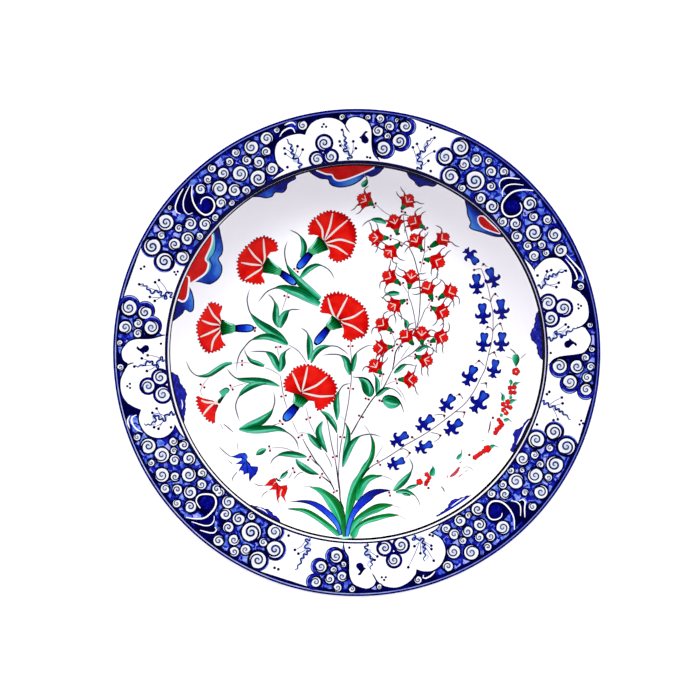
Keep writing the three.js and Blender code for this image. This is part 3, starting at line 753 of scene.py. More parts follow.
def blade(outline, spine, width, dark=1, piece="leaf_sprays", colour="leaf", edges=()):
    """A leaf given by its whole outline, shaded across its spine."""
    line = catmull(spine, step=1.2)
    whole = catmull(outline, True, 1.2)
    paint(offset(whole, 0.22), "leaf_line", piece)
    paint(whole, colour, piece, across_shade(line, [width / 2] * len(line), dark))
    last = len(line) - 1
    for side, thick, tone in ((0.42, 0.2, 0.1), (-0.36, 0.16, 0.9), (0.05, 0.08, 0.2)):
        bow = [dark * side * width / 2 * math.sin(math.pi * i / last) for i in range(last + 1)]
        streak = beside(line, bow)[last // 6:-(last // 6)]
        paint(ribbon(streak, thick * width, 0.1, 0.1), colour, piece, tone)
    for points, thick, ink in edges:
        stroke(points, thick, ink, piece, 0.3, 0.3)


TOOTH = 2.15


TOOTH_STEP = 0.44


def toothed(edge, base):
    """A carnation's pinked edge: its line, which side is outward, and how far its round teeth are up."""
    line = catmull(edge, step=TOOTH_STEP)
    middle = len(line) // 2
    ahead = beside(line, [1] * len(line))[middle]
    outward = 1 if math.dist(ahead, base) > math.dist(line[middle], base) else -1
    along = [i * TOOTH_STEP / TOOTH for i in range(len(line))]
    teeth = [random.uniform(0.7, 1.2) for _ in range(round(len(line) * TOOTH_STEP / TOOTH) + 2)]
    return line, outward, [abs(math.sin(math.pi * t)) * teeth[int(t)] - 0.5 for t in along]


PETAL_LIFT = 0.22


def petals(base, edge, start_notch, end_notch, veins, piece):
    """A fan of red petals with dark tips to its teeth, parted by pale veins."""
    pinking, outward, ups = toothed(edge, base)
    middle = (sum(p[0] for p in edge) / len(edge), sum(p[1] for p in edge) / len(edge))
    heart = between(base, middle, 0.5)
    reach = max(math.dist(base, p) for p in edge)

    def shade(x, y):
        out = math.dist((x, y), base) / reach
        return 0.85 - 0.5 * max(0, out - 0.8) / 0.2 - 0.75 * max(0, 0.35 - out) / 0.35
    layers = ((1.5, 0.15, "maroon", 0.6, 0.0), (1.3, -0.22, "red", shade, PETAL_LIFT))
    for depth, grow, colour, tone, lift in layers:
        teeth = beside(pinking, [outward * (depth * up + grow) for up in ups])
        start, end = ([toward(p, heart, -grow) for p in notch] for notch in (start_notch, end_notch))
        paint(start + teeth + end, colour, piece, tone, lift)
    for vein in veins:
        line = catmull([toward(vein[0], base, 0.75 * math.dist(vein[0], base))] + vein, step=1.0)
        paint(ribbon(line, 1.7, 0.4, 0.5), "maroon", piece, 1.0, PETAL_LIFT)
        paint(ribbon(line, 1.3, 0.2, 0.45), "vein", piece, 0.8, PETAL_LIFT * 0.5)


def calyx(left_top, right_top, right_foot, left_foot, piece):
    """The green cone under a flower: nearly black at the petals, pale toward the tube."""
    top, low = between(left_top, right_top, 0.5), between(left_foot, right_foot, 0.5)
    size = math.dist(top, low)

    def shade(x, y):
        return ((x - top[0]) * (low[0] - top[0]) + (y - top[1]) * (low[1] - top[1])) / size ** 2
    crown = toward(top, low, -0.9)
    side_a = toward(between(left_top, left_foot, 0.5), low, 0.7)
    side_b = toward(between(right_top, right_foot, 0.5), low, 0.7)
    outline = (catmull([left_top, crown, right_top], step=0.8)[:-1]
               + catmull([right_top, side_b, right_foot], step=1)[:-1]
               + catmull([left_foot, side_a, left_top], step=1)[:-1])
    paint(offset(outline, 0.22), "leaf_line", piece, 0.6)
    paint(outline, "calyx", piece, shade)
    pale = [toward(left_top, low, 1.5), toward(side_a, low, 0.7), toward(left_foot, low, 0.6)]
    stroke(pale, 0.9, "aqua", piece, 0.2, 0.6)
    for t in (0.3, 0.5, 0.7, 0.88):
        pleat = [between(left_top, right_top, t), between(between(side_a, side_b, t), low, 0.1),
                 between(left_foot, right_foot, t)]
        stroke(pleat, 0.45, "leaf_line", piece, 0.8, 0.1)
        foot = between(left_foot, right_foot, t - 0.12)
        paint(circle(toward(foot, top, 0.2), size * 0.13, 10), "calyx", piece, 0.75)


TUBE_SWELL = (0.72, 0.74, 0.78, 0.84, 0.88, 0.92, 0.95, 0.97, 0.98, 0.95, 0.86, 0.68, 0.34)


def tube(start, end, width, piece):
    """The blue tube below a calyx: dark next to the calyx and round its edge, bright toward its end."""
    start = toward(start, end, -1.5)
    length = math.dist(start, end)
    last = len(TUBE_SWELL) - 1
    line = [between(start, end, i / last) for i in range(last + 1)]
    for shrink, part, colour, dim in ((0, slice(None), "navy", 0.9), (0.85, slice(3, -1), "azure", 0.35)):
        halves = [max(0.1, width / 2 * k - shrink) for k in TUBE_SWELL[part]]
        paint(both_sides(line[part], halves), colour, piece,
              lambda x, y, dim=dim: 1.5 * math.dist((x, y), start) / length - dim)


def pair(a, b, piece="leaf_sprays"):
    """Two dark dots with a blush of pink between them, where a stem forks."""
    paint(circle(between(a, b, 0.5), 0.9, 10), "pink", piece)
    for centre in (a, b):
        dot(centre, 0.74, "dot", piece)


CARNATIONS = [
    {"base": (-57.4, 52.9), "edge": [(-56.1, 43.3), (-60.1, 41.6), (-67.7, 43.1), (-71, 44.9), (-72.6, 50.3),
     (-72.6, 55.6), (-70.8, 60.5), (-66.8, 65), (-61.4, 69.2), (-56.1, 70.6), (-51.6, 69), (-48.5, 65.4),
     (-48.9, 61.4)], "start": [(-56.3, 50.2), (-58.3, 47.1)], "end": [(-52.5, 61.2), (-54.7, 58.3),
     (-54.6, 56)], "veins": [[(-56.2, 57.5), (-56.6, 63), (-57, 69.3)], [(-58.5, 55), (-62.5, 58.8),
     (-66.3, 63.9)], [(-59.5, 53.2), (-65, 53.7), (-70.6, 54.7)], [(-58.8, 50.6), (-63.5, 47.5),
     (-68.4, 44.3)]], "calyx": ((-54.3, 57.8), (-57.4, 48.7), (-47.8, 46.9), (-46.7, 51.3)),
     "tube": ((-47.2, 49.1), (-36.8, 41.4), 5.2)},
    {"base": (-20, 68), "edge": [(-28.6, 71.4), (-29.3, 75), (-27.9, 79.5), (-25.7, 81.5), (-23.5, 83.3),
     (-18.1, 86.2), (-12.3, 85.7), (-7.9, 84.4), (-5.2, 82.1), (-1.6, 77.2), (-0.3, 72.8), (-0.7, 68.3),
     (-1.2, 64.7), (-2.9, 59.8), (-5.2, 57.6), (-7.9, 56.3), (-12.3, 55.4), (-15, 57.1), (-17.7, 58)],
     "start": [(-20.8, 68.4), (-23.5, 71.2), (-26.6, 71.9)], "end": [(-16.3, 60.3), (-16.6, 62.5),
     (-18, 65.4)], "veins": [[(-20.7, 70), (-21.2, 75.5), (-25, 81.5)], [(-19, 70), (-16.3, 77),
     (-14.6, 85)], [(-18.5, 69), (-12.5, 74.8), (-5.4, 80.8)], [(-18, 67), (-10, 68.8), (-1, 66.2)],
     [(-17.6, 65.6), (-12, 64), (-5.4, 59.6)]], "calyx": ((-23.5, 70.7), (-17.2, 62.7), (-24.8, 59.6),
     (-29.9, 62.6)), "tube": ((-27.4, 61.2), (-36.4, 50.8), 5.4)},
    {"base": (-10, 19.5), "edge": [(-21.9, 23.9), (-21.7, 26.6), (-20.8, 30.6), (-19, 33.8), (-16.3, 35.3),
     (-11, 36.2), (-6.1, 35.1), (-1.2, 32.6), (4.6, 27), (7, 20.5), (6.8, 14), (4.2, 9.2), (1.1, 8.8),
     (-3.4, 7), (-6.1, 7.9), (-9, 9.2)], "start": [(-12, 19.5), (-14.6, 22.1), (-17.2, 23.5)],
     "end": [(-7.9, 11.4), (-7.9, 14.1), (-9, 17)], "veins": [[(-12, 20.5), (-9, 26.8), (-5.5, 33.5)],
     [(-8.6, 19.8), (-2, 21.5), (4.5, 25.8)], [(-8, 17.8), (-2, 15.6), (4.3, 11.4)], [(-13.4, 21.6),
     (-15.8, 27), (-17.5, 33.1)]], "calyx": ((-15, 22.3), (-8.6, 15), (-15, 13), (-18.8, 17)),
     "tube": ((-16.9, 15.2), (-25.5, 4.5), 5.4)},
    {"base": (-33.8, -24.7), "edge": [(-43.1, -24.3), (-44.2, -19.8), (-43.1, -16.7), (-38.7, -10.9),
     (-34.2, -8.7), (-28.4, -8), (-23, -10), (-19, -13.1), (-15.9, -14.9), (-12.3, -22.1), (-13.7, -28.3),
     (-14.9, -30.1), (-22, -35.7), (-25, -34.2)], "start": [(-34.6, -26.2), (-38.5, -25.4)],
     "end": [(-26, -30.1), (-30.2, -29.6)], "veins": [[(-35, -23), (-37.2, -17.5), (-39.4, -12.5)],
     [(-33, -22.6), (-31.4, -16), (-30, -9)], [(-32, -23.6), (-24.5, -20.4), (-17.9, -15.1)],
     [(-31.4, -25.4), (-22.5, -27.2), (-14, -26.8)]], "calyx": ((-38.3, -25.2), (-29.4, -29.8),
     (-33.4, -34.6), (-39.2, -30.6)), "tube": ((-36.3, -32.4), (-44.6, -42.2), 6.2)},
    {"base": (-82.9, 15.5), "edge": [(-82, 27.1), (-86.4, 29.7), (-89.6, 30.2), (-91.3, 27.9), (-94, 23.9),
     (-95.8, 20.4), (-97.6, 16.5), (-97.1, 10.7), (-95.8, 4.9), (-93.6, 2), (-90.9, -0.2), (-87.3, 0),
     (-83.3, 2), (-80.2, 4.5)], "start": [(-82.6, 19), (-83.75, 23)], "end": [(-82, 6.7), (-83.1, 9.8),
     (-82.6, 12)], "veins": [[(-84, 18.8), (-87.6, 22.6), (-90.6, 28)], [(-84.5, 16.6), (-89.5, 17.3),
     (-94.7, 19.4)], [(-84.5, 14.3), (-90, 11.6), (-95.6, 9.2)], [(-83.8, 12.4), (-87.6, 7.2),
     (-88.9, 0.8)]], "calyx": ((-82.4, 19.8), (-82.4, 10.2), (-75, 11.6), (-75, 17)),
     "tube": ((-75.2, 14.4), (-62.6, 14.6), 5.4)},
    {"base": (-86.2, -31.6), "edge": [(-97.6, -26.8), (-97.6, -29.9), (-96.7, -33), (-95.4, -36.6),
     (-93.6, -38.4), (-91.3, -41.5), (-86.4, -43.8)], "start": [(-87.8, -29.9), (-94, -28.3)],
     "end": [(-86.4, -37.5), (-84.6, -32.6)], "veins": [[(-87.4, -31.6), (-91, -34.8), (-94.2, -39)],
     [(-88.4, -31), (-92, -30.8), (-95, -29.6)]], "calyx": ((-84.9, -29.9), (-83.6, -31.4), (-79, -24.6),
     (-80.6, -23.4)), "tube": None},
]


def carnations():
    """The five carnations of the well and the half one at its left edge."""
    for number, flower in enumerate(CARNATIONS, 1):
        piece = f"carnation_{number}"
        if flower["tube"]:
            tube(*flower["tube"], piece)
        petals(flower["base"], flower["edge"], flower["start"], flower["end"], flower["veins"], piece)
        calyx(*flower["calyx"], piece)
    small = "carnation_6"
    paint([(-84.2, -24.6), (-81.6, -22.8), (-79.7, -22.1), (-77.9, -23.2), (-79.6, -25.8), (-82, -27.7)],
          "leaf", small, 0.75)
    stroke([(-84.4, -24.5), (-79.9, -22), (-77.9, -23.2), (-79, -25.2)], 0.7, "leaf_line", small)
    paint(circle((-86.2, -30.9), 1.3, 10), "vein", small)


# Leaves: (points from root to tip, width, dark side: 1 is left and -1 right, tail, root).
LEAVES = [
    ([(-22, 32.6), (-30.2, 38.8), (-36.4, 44.6), (-40, 49.1), (-42.7, 53.6), (-44, 59.8), (-43.6, 64.3),
     (-42.2, 67.9)], 4.6, 1, 0.34, 0.35),
    ([(-22.6, 29), (-33.8, 35.7), (-40, 37.9), (-45.4, 39.5), (-49.8, 39.1), (-55.2, 36.6), (-60.5, 30.2)],
     6.2, -1, 0.3, 0.3),
    ([(-34.2, 57.6), (-32.6, 61), (-32, 64.3), (-33.3, 68.8), (-36, 72.3), (-40.9, 74.8)], 3.2, -1, 0.36,
     0.28),
    ([(-34.2, 45.5), (-30.2, 50), (-25.7, 52.7), (-22.1, 53.1), (-17.7, 50.9), (-15, 47.8), (-13.4, 44.2)],
     3.2, 1, 0.45, 0.3),
    ([(-47.6, 15), (-49.2, 18.5), (-49.4, 22.1), (-49.4, 28.4), (-51.6, 32.9), (-54.3, 35.5)], 4, 1, 0.3,
     0.1),
    ([(-46.7, 14.6), (-45.4, 19.9), (-43.1, 23.9), (-40, 25.9), (-34.2, 25.9)], 4.6, -1, 0.36, 0.1),
    ([(-42.2, 4.7), (-47.1, 9.2), (-53.8, 13.7), (-59.6, 17.7), (-65, 23.9), (-66.8, 30), (-66.8, 33.8),
     (-65.4, 38.7)], 5.2, -1, 0.34, 0.15),
    ([(-42.2, 4.3), (-49.4, 7.9), (-53.8, 9.2), (-58.3, 9.2), (-64.6, 7.1), (-68.1, 3.6), (-71.3, -0.9),
     (-73, -6), (-73.5, -11.6)], 3.8, -1, 0.5, 0.12),
    ([(-47.1, -12.2), (-48.9, -8.2), (-51.2, -3.3), (-54.3, -0.6), (-57, 0.3), (-65, 0.3)], 4.2, -1, 0.42,
     0.1),
    ([(-46.7, -12), (-45.4, -7.3), (-45.4, -2.9), (-43.1, 0.7), (-40, 2.7)], 3.8, -1, 0.26, 0.1),
    ([(-29.3, -5.1), (-28.6, 0), (-28.6, 4.3), (-29.3, 9.2), (-30.6, 12.3), (-34.2, 15)], 3.8, 1, 0.3, 0.1),
    ([(-27.9, -6.9), (-25.7, -1.1), (-21.7, 2.5), (-16.8, 3.6), (-12.3, 3.4), (-8.3, 1.2), (-4.7, -2)], 3.4,
     -1, 0.46, 0.1),
    ([(-4, -14.2), (-5.4, -9), (-6.4, -5), (-10, -2), (-15, -1.4), (-20.8, -2)], 4, -1, 0.46, 0.1),
    ([(-2.5, -12), (-1.7, -6.4), (-0.3, -1.2), (1.5, 0.8), (4, 2.5), (7, 3.8), (10, 4)], 2.9, 1, 0.5, 0.12),
    ([(-56.5, -8.5), (-61.4, -6.7), (-64.6, -5.4), (-66.8, -2.7), (-68.3, 0), (-68.3, 2.2)], 2.6, 1, 0.3,
     0.4),
    ([(-76.2, -6.7), (-80.2, -7.6), (-84.6, -10.3), (-90, -13.8), (-94, -14.7), (-98, -14.3),
     (-101.6, -11.2), (-104.3, -5.4)], 3, 1, 0.34, 0.3),
    ([(-47.1, -21), (-53.4, -18.8), (-59.2, -17.9), (-65.9, -17.4), (-72.6, -16.5), (-76.6, -13.8),
     (-79.3, -10.3)], 4, -1, 0.22, 0.06),
    ([(-55.2, -19), (-62.3, -20), (-67.7, -22.8), (-71.3, -26.3), (-73.5, -30.4), (-73.9, -34.8),
     (-71.7, -42)], 3.6, 1, 0.44, 0.1),
    ([(-72, -47.3), (-66, -45.3), (-60, -43), (-55.8, -40.2), (-52.2, -36.6), (-50.5, -32.5), (-50.1, -29),
     (-50.8, -24.5)], 5, -1, 0.34, 0.1),
    ([(-72, -47.5), (-66, -48), (-60, -47.7), (-52, -47), (-47, -47.3), (-43, -49), (-40, -51), (-38, -53),
     (-36.5, -55.5), (-35.3, -60)], 4.4, 1, 0.34, 0.1),
    ([(-30, -50), (-28.5, -51.5), (-25.5, -55), (-21.5, -60)], 3.6, 1, 0, 0.1),
    ([(-20.8, -42.5), (-23, -47), (-22.8, -51), (-21, -56), (-18, -61.5)], 4, -1, 0, 0.06),
    ([(-22, -36), (-18, -38.7), (-15, -42.5), (-13, -46), (-12, -49.7)], 3.2, -1, 0, 0.08),
    ([(-12, -41.7), (-11.9, -37), (-12.3, -32), (-11.8, -27), (-9.5, -22), (-7, -20), (-3.5, -19.3)], 3.6, 1,
     0.36, 0.08),
    ([(-8.5, -70.5), (-6.5, -60), (-5.2, -53), (-5.2, -48), (-6.8, -43.5)], 3.2, -1, 0, 0.12),
    ([(-8.3, -70), (-5.8, -62), (-3, -56.5), (1, -52.3), (5, -50.7), (10, -50.5), (15, -52)], 3.8, 1, 0.36,
     0.15),
    ([(-30.5, -64.3), (-33, -63.8), (-37, -63), (-42, -62.5), (-47, -63), (-51, -65.5), (-53, -69)], 3.6, -1,
     0.3, 0.1),
    ([(-55.3, -59.5), (-58.4, -60.9), (-61.5, -63)], 3.4, 1, 0, 0.12),
    ([(-37, -65.5), (-35.5, -68), (-32.5, -70.5), (-28, -73.3), (-23.2, -75)], 3.8, -1, 0, 0.1),
    ([(12.4, -26), (12.8, -23), (12.9, -19), (11.8, -15.5), (10, -12.7)], 2.8, 1, 0.2, 0.2),
    ([(12, -27), (14.5, -25), (17, -23), (20, -22.3), (23, -23), (26, -25.5), (28, -28.5)], 2.6, 1, 0.5,
     0.3),
    ([(30.5, 14.3), (30.8, 16.8), (30, 19.2), (28.5, 20.5), (26, 22.5), (24.7, 24.5)], 2.9, 1, 0.5, 0.25),
    ([(36.3, 0.3), (38, 1), (41, 3), (44, 3.2), (47, 1.5), (49.5, -1)], 2.3, 1, 0.42, 0.2),
    ([(23, -13), (25.5, -11), (28.5, -8.5), (31, -7.7), (34, -8), (37, -8.7)], 2.6, 1, 0.42, 0.2),
    ([(18, 78.8), (15, 80.4), (12, 80.8), (9.5, 81), (6, 79.5), (3, 76.5)], 3, -1, 0.42, 0.25),
    ([(26.3, 35.7), (23, 35.9), (19.5, 35.5), (17.3, 34.5), (15.5, 32)], 2.9, -1, 0.34, 0.3),
    ([(3, 101.5), (4.4, 102.4), (5.8, 104), (6.2, 106.5), (4, 109)], 3, -1, 0.5, 0.3),
    ([(22.6, -85), (26, -81.8), (30, -77.8), (33.2, -73.6), (34.3, -69.5), (32.3, -65)], 3.8, -1, 0.36,
     0.14),
    ([(24, -86), (27, -85.4), (30, -85.5), (34, -86.8), (36.5, -88.8), (38.5, -92.5), (38.8, -95)], 2.6, 1,
     0.42, 0.3),
    ([(28, -87), (30.5, -87.3), (33, -88)], 1.5, 1, 0, 0.2),
    ([(30, -84), (34, -82.5), (38, -81.2)], 2, 1, 0, 0.2),
]

STEMS = [
    ([(-45.8, 24.8), (-43.6, 31.5), (-42, 36)], 0.55),
    ([(-41.8, 4.5), (-36.4, 1.2), (-32.9, -2.9), (-30.6, -6.9)], 0.6),
    ([(-47.8, -2.4), (-48.2, 1), (-48, 4.3)], 0.5),
    ([(-46.7, -14.5), (-45.8, -20.3), (-44.5, -28), (-42.5, -34.5)], 0.6),
    ([(-46.7, -14.5), (-51.6, -11.3), (-56.1, -9.6)], 0.55),
    ([(-65, -6.9), (-70, -6.5), (-75.7, -6.9)], 0.5),
    ([(-90.4, -15.6), (-93.6, -19.6), (-95.4, -23.7), (-94.2, -27.2)], 0.5),
    ([(-67.7, -19.2), (-72.6, -20.5), (-76.2, -21.9)], 0.5),
    ([(-31.2, -33.5), (-29.8, -38.5), (-29, -42.5), (-27.5, -46), (-25.3, -50.5)], 0.55),
    ([(-39.5, -42), (-37.5, -46.5), (-36, -50)], 0.5),
    ([(-33, -53), (-31, -57), (-28, -62), (-25, -67), (-22, -70.5), (-19, -75), (-15.5, -80)], 1),
    ([(-20, -38), (-18, -42), (-16.5, -50), (-15, -58), (-13.5, -64), (-12.3, -71), (-11, -83)], 0.8),
    ([(-11.5, -50), (-11.8, -57), (-11.5, -65)], 0.6),
    ([(-19, -62), (-16.5, -66.5), (-15, -70.5)], 0.6),
    ([(-12.3, -70), (-10.5, -83), (-10, -90), (-8.5, -95)], 1.5),
    ([(1.5, -42), (-1, -47), (-3.3, -51)], 0.5),
    ([(-27.7, -65.3), (-25, -68), (-22.5, -70)], 0.9),
    ([(-22, -75.5), (-18, -78.5), (-15.5, -80.8), (-13.3, -85.5)], 1.2),
    ([(-9.5, -39.5), (-7, -42)], 0.5),
    ([(-4, 7), (-3.5, 0), (-3.2, -5), (-3.2, -15), (-3.5, -20), (-4.3, -25), (-4.8, -30), (-5.7, -35),
     (-7.2, -43), (-7.8, -48), (-9.3, -55), (-10, -60), (-10.7, -67), (-11, -80), (-10, -90)], 0.75),
    ([(-38, -61), (-43, -59.2), (-47, -58.6), (-52, -58.8)], 0.55),
    ([(-36, -49.8), (-33, -49.5), (-30, -50)], 0.5),
    ([(-32.5, -73.5), (-35.5, -74.5), (-38.5, -77.8)], 0.6),
    ([(-56.5, -45.9), (-52, -45.3), (-47, -43.5)], 0.6),
    ([(-41.5, -72), (-43.5, -73.5), (-46, -76.5), (-47.5, -78.5)], 0.8),
    ([(-40, -73.5), (-40.2, -75.5), (-41.8, -77.5)], 0.6),
    ([(-81.5, -44), (-79, -46), (-75.5, -49)], 0.9),
    ([(-83.5, -44), (-82.4, -45.7), (-82, -47.5)], 0.4),
    ([(-74.2, -35), (-73, -39), (-71.5, -42.5)], 0.4),
    ([(-73.3, -55), (-72.7, -58), (-72.8, -60)], 0.5),
    ([(24.5, -21.3), (28, -25.5), (30, -30)], 0.4),
    ([(16.5, -57), (13.5, -62), (11, -66)], 0.35),
]

PAIRS = [((-44.2, 34.4), (-41.6, 33.5)), ((-49.4, 2.9), (-46.6, 3.1)), ((-5, 3.5), (-2.4, 3.6)),
    ((-5.1, -22.2), (-2.1, -22.6)), ((-46.1, -27.3), (-43.3, -26.7)), ((-70.1, -5.4), (-70.1, -8)),
    ((-95.4, -19.9), (-93.1, -21.7)), ((-77.3, -20.5), (-75.8, -23)), ((-38.2, 50.9), (-36, 49.1)),
    ((-62, 14.8), (-62.3, 12.8)), ((-30.7, -41.3), (-28.4, -40.2)), ((-35.6, -52.4), (-33.4, -50.9)),
    ((-10, -52), (-7.5, -52.3)), ((-14.5, -64.5), (-12.3, -63.8)), ((-53.5, -57.8), (-53, -60.5)),
    ((-29.7, -66.2), (-28.3, -64.1)), ((-39, -71.2), (-38, -73.7)), ((-21, -74.6), (-22.4, -77)),
    ((-14, -86), (-12, -85)), ((-47, -42.2), (-45.3, -44.2)), ((1.5, -39), (3.9, -40)),
    ((20, -86), (20.5, -88)), ((12.8, -66.7), (14.5, -69.2))]


WIDE_STEM = 0.95
HAIR_STEM = 0.56


def leaves():
    """The thin stems, their leaves, the dots at their forks and two broad leaves low on the right."""
    for points, width in STEMS:
        colour = "black" if width > WIDE_STEM else "grey" if width < HAIR_STEM else "stem"
        stroke(points, 0.25 + 0.5 * width, colour, "leaf_sprays", 0.6, 0.6)
    for points, width, dark, tail, root in LEAVES:
        leaf(points, width, dark, tail, root * 0.45)
    for a, b in PAIRS:
        pair(a, b)
    leaf([(-46.5, -77.5), (-44, -75), (-42, -73.4)], 2.4, 1, 0, 0.1)
    big = [(4, -15.8), (7, -17), (9, -19.5), (10.3, -22.5), (10.3, -25), (9, -27), (7.5, -27.3), (5, -25.5),
        (3.7, -23), (2.8, -19), (1.5, -16)]
    blade(big, [(2.4, -16), (5.5, -19), (7.2, -23), (7.8, -27)], 7.0, -1,
          edges=[([(-2.5, -15.3), (2, -15.7), (4, -15.8), (7, -17), (9, -19.5), (10.3, -22.5), (10.4, -25),
                   (9, -27.2), (7.5, -27.4)], 1.1, "black")])
    low = [(16, -28.5), (18.5, -26.8), (21.5, -27), (25, -28.5), (26.8, -31.4), (24, -34), (20, -34.4),
        (17, -32)]
    blade(low, [(16, -29.5), (21, -30.4), (26.5, -32)], 7.4, 1,
          edges=[([(15.6, -29.6), (16.6, -27.8), (18.5, -26.7), (21.5, -26.9), (25, -28.4), (27.5, -32.5),
                   (29, -37)], 0.9, "black")])


def tuft():
    """The clump of long leaves at the foot: green and blue, on one root."""
    green = [
        ([(-6.9, -109), (-6.7, -101), (-6.2, -94), (-5, -87.5), (-2.5, -80), (1, -75), (4, -69.5),
         (7.5, -65), (9, -60), (9.3, -55), (8.3, -50), (9.4, -52), (11, -56), (11.2, -60), (10.5, -64.5),
         (9, -68), (6, -72.5), (3, -77), (0.5, -84), (-0.5, -90), (-3, -97), (-5.2, -104)], [(-6, -106),
         (-4.9, -96), (-2.4, -86), (2, -77), (7, -69), (9.8, -61), (9.6, -53)], 5.5, -1, [([(8.8, -51.5),
         (6.5, -47), (4, -44.5)], 0.5, "grey")]),
        ([(1.5, -80), (4.5, -77.5), (8, -76), (12, -75.5), (16, -75.7), (11, -77.5), (7.5, -80), (5, -84),
         (3, -88), (0, -91), (-0.5, -86)], [(0.5, -88), (4, -80), (9, -76.6), (16, -75.7)], 6, 1,
         [([(15, -75.7), (20, -77.3), (22.5, -78.8)], 0.5, "grey")]),
        ([(-4.6, -110.5), (-3.6, -106), (0, -100.9), (5, -97), (11, -93.6), (16, -92.7), (22.2, -93.6),
         (17.8, -95.6), (12.9, -98.1), (8, -99.8), (3.1, -103), (-0.8, -107), (-4, -111.5)], [(-4, -109.5),
         (-1, -103.8), (6, -98.6), (14, -95.3), (22, -93.6)], 5, 1, [([(21, -93.4), (25.5, -95), (28, -97)],
         0.5, "grey"), ([(2, -101.8), (8, -98.6), (14, -96)], 0.4, "leaf_line")]),
        ([(-3.8, -112.9), (-1.9, -108.8), (2.1, -104.7), (8, -101.4), (14.9, -99.5), (20.8, -98.9),
         (25.7, -99.9), (19.8, -101), (12.9, -103), (6.1, -105), (2.1, -107.5), (-0.3, -112.9)],
         [(-2, -112.6), (0.5, -107), (6, -103.4), (14, -101.2), (25, -99.8)], 4.8, 1, [([(23, -99.4),
         (28, -101), (31, -103)], 0.5, "grey"), ([(-1, -107.8), (5, -103.6), (12, -100.9)], 0.4,
         "leaf_line")]),
        ([(-28.4, -82.7), (-22.5, -83.2), (-17.6, -85.7), (-13.2, -88.6), (-9.7, -92.6), (-7.5, -98),
         (-6.8, -104), (-7, -112.8), (-8.3, -112.8), (-9.2, -108.8), (-11.7, -102.9), (-15.6, -97),
         (-18.6, -92.1), (-21.5, -87.6), (-25.5, -84.2)], [(-27, -82.9), (-19, -87), (-13, -94),
         (-9.6, -102), (-7.8, -112)], 6, 1, [([(-26, -82.8), (-29, -82.3), (-33, -82.5)], 0.5, "grey"),
         ([(-20, -84.6), (-14.5, -88), (-10.6, -91.4), (-8.2, -94.4), (-7.6, -99)], 0.5, "leaf_line")]),
        ([(-10.2, -111.8), (-13, -108), (-16.9, -104.6), (-25, -98.9), (-32.1, -95.9), (-42.2, -95.9),
         (-34, -97.6), (-26.5, -101.5), (-18.5, -107.3), (-12.4, -112)], [(-11, -111.8), (-17.6, -106),
         (-25.6, -100.3), (-33, -96.8), (-42, -95.9)], 3.4, -1,
         [([(-40, -95.9), (-44, -96.4)], 0.4, "grey")]),
    ]
    blue = [
        ([(-41, -91.5), (-37, -91), (-33, -90.5), (-27, -91), (-22, -93), (-19, -95), (-15.2, -98.2),
         (-12.2, -101.6), (-10, -106), (-8.8, -111.4), (-10.6, -111.6), (-13, -106.6), (-17, -102),
         (-22, -97.6), (-28, -93.8), (-34, -92.2)], [(-38, -91.3), (-27, -92.3), (-18.4, -97.6),
         (-12.6, -104), (-9.8, -111)]),
        ([(-6.9, -112.9), (-6.7, -108), (-5, -101.5), (-2, -95), (2, -89.5), (6, -86), (10, -84.2),
         (15, -83.7), (21, -84.7), (17, -86), (12, -88), (9.5, -90.5), (5, -94), (1, -98), (-1.5, -102),
         (-3.5, -107.5), (-4.8, -112.9)], [(-5.8, -112.5), (-4.4, -104), (0, -95), (6, -89), (13, -85.4),
         (20, -84.7)]),
    ]
    for outline, spine, width, dark, edges in green:
        blade(outline, spine, width, dark, "tuft_leaves", "tuft", edges)
    for outline, spine in blue:
        smooth_outline = catmull(outline, True, 1.2)
        root = spine[0] if spine[0][1] < -110 else spine[-1]
        paint(smooth_outline, "navy", "tuft_leaves")
        paint(offset(smooth_outline, -0.55), "azure", "tuft_leaves",
              lambda x, y, root=root: 0.95 - math.dist((x, y), root) / 38)
    stroke([(-10.8, -113), (-7.5, -113.4), (-3, -113)], 1.2, "aqua", "tuft_leaves", 0.6, 0.6)


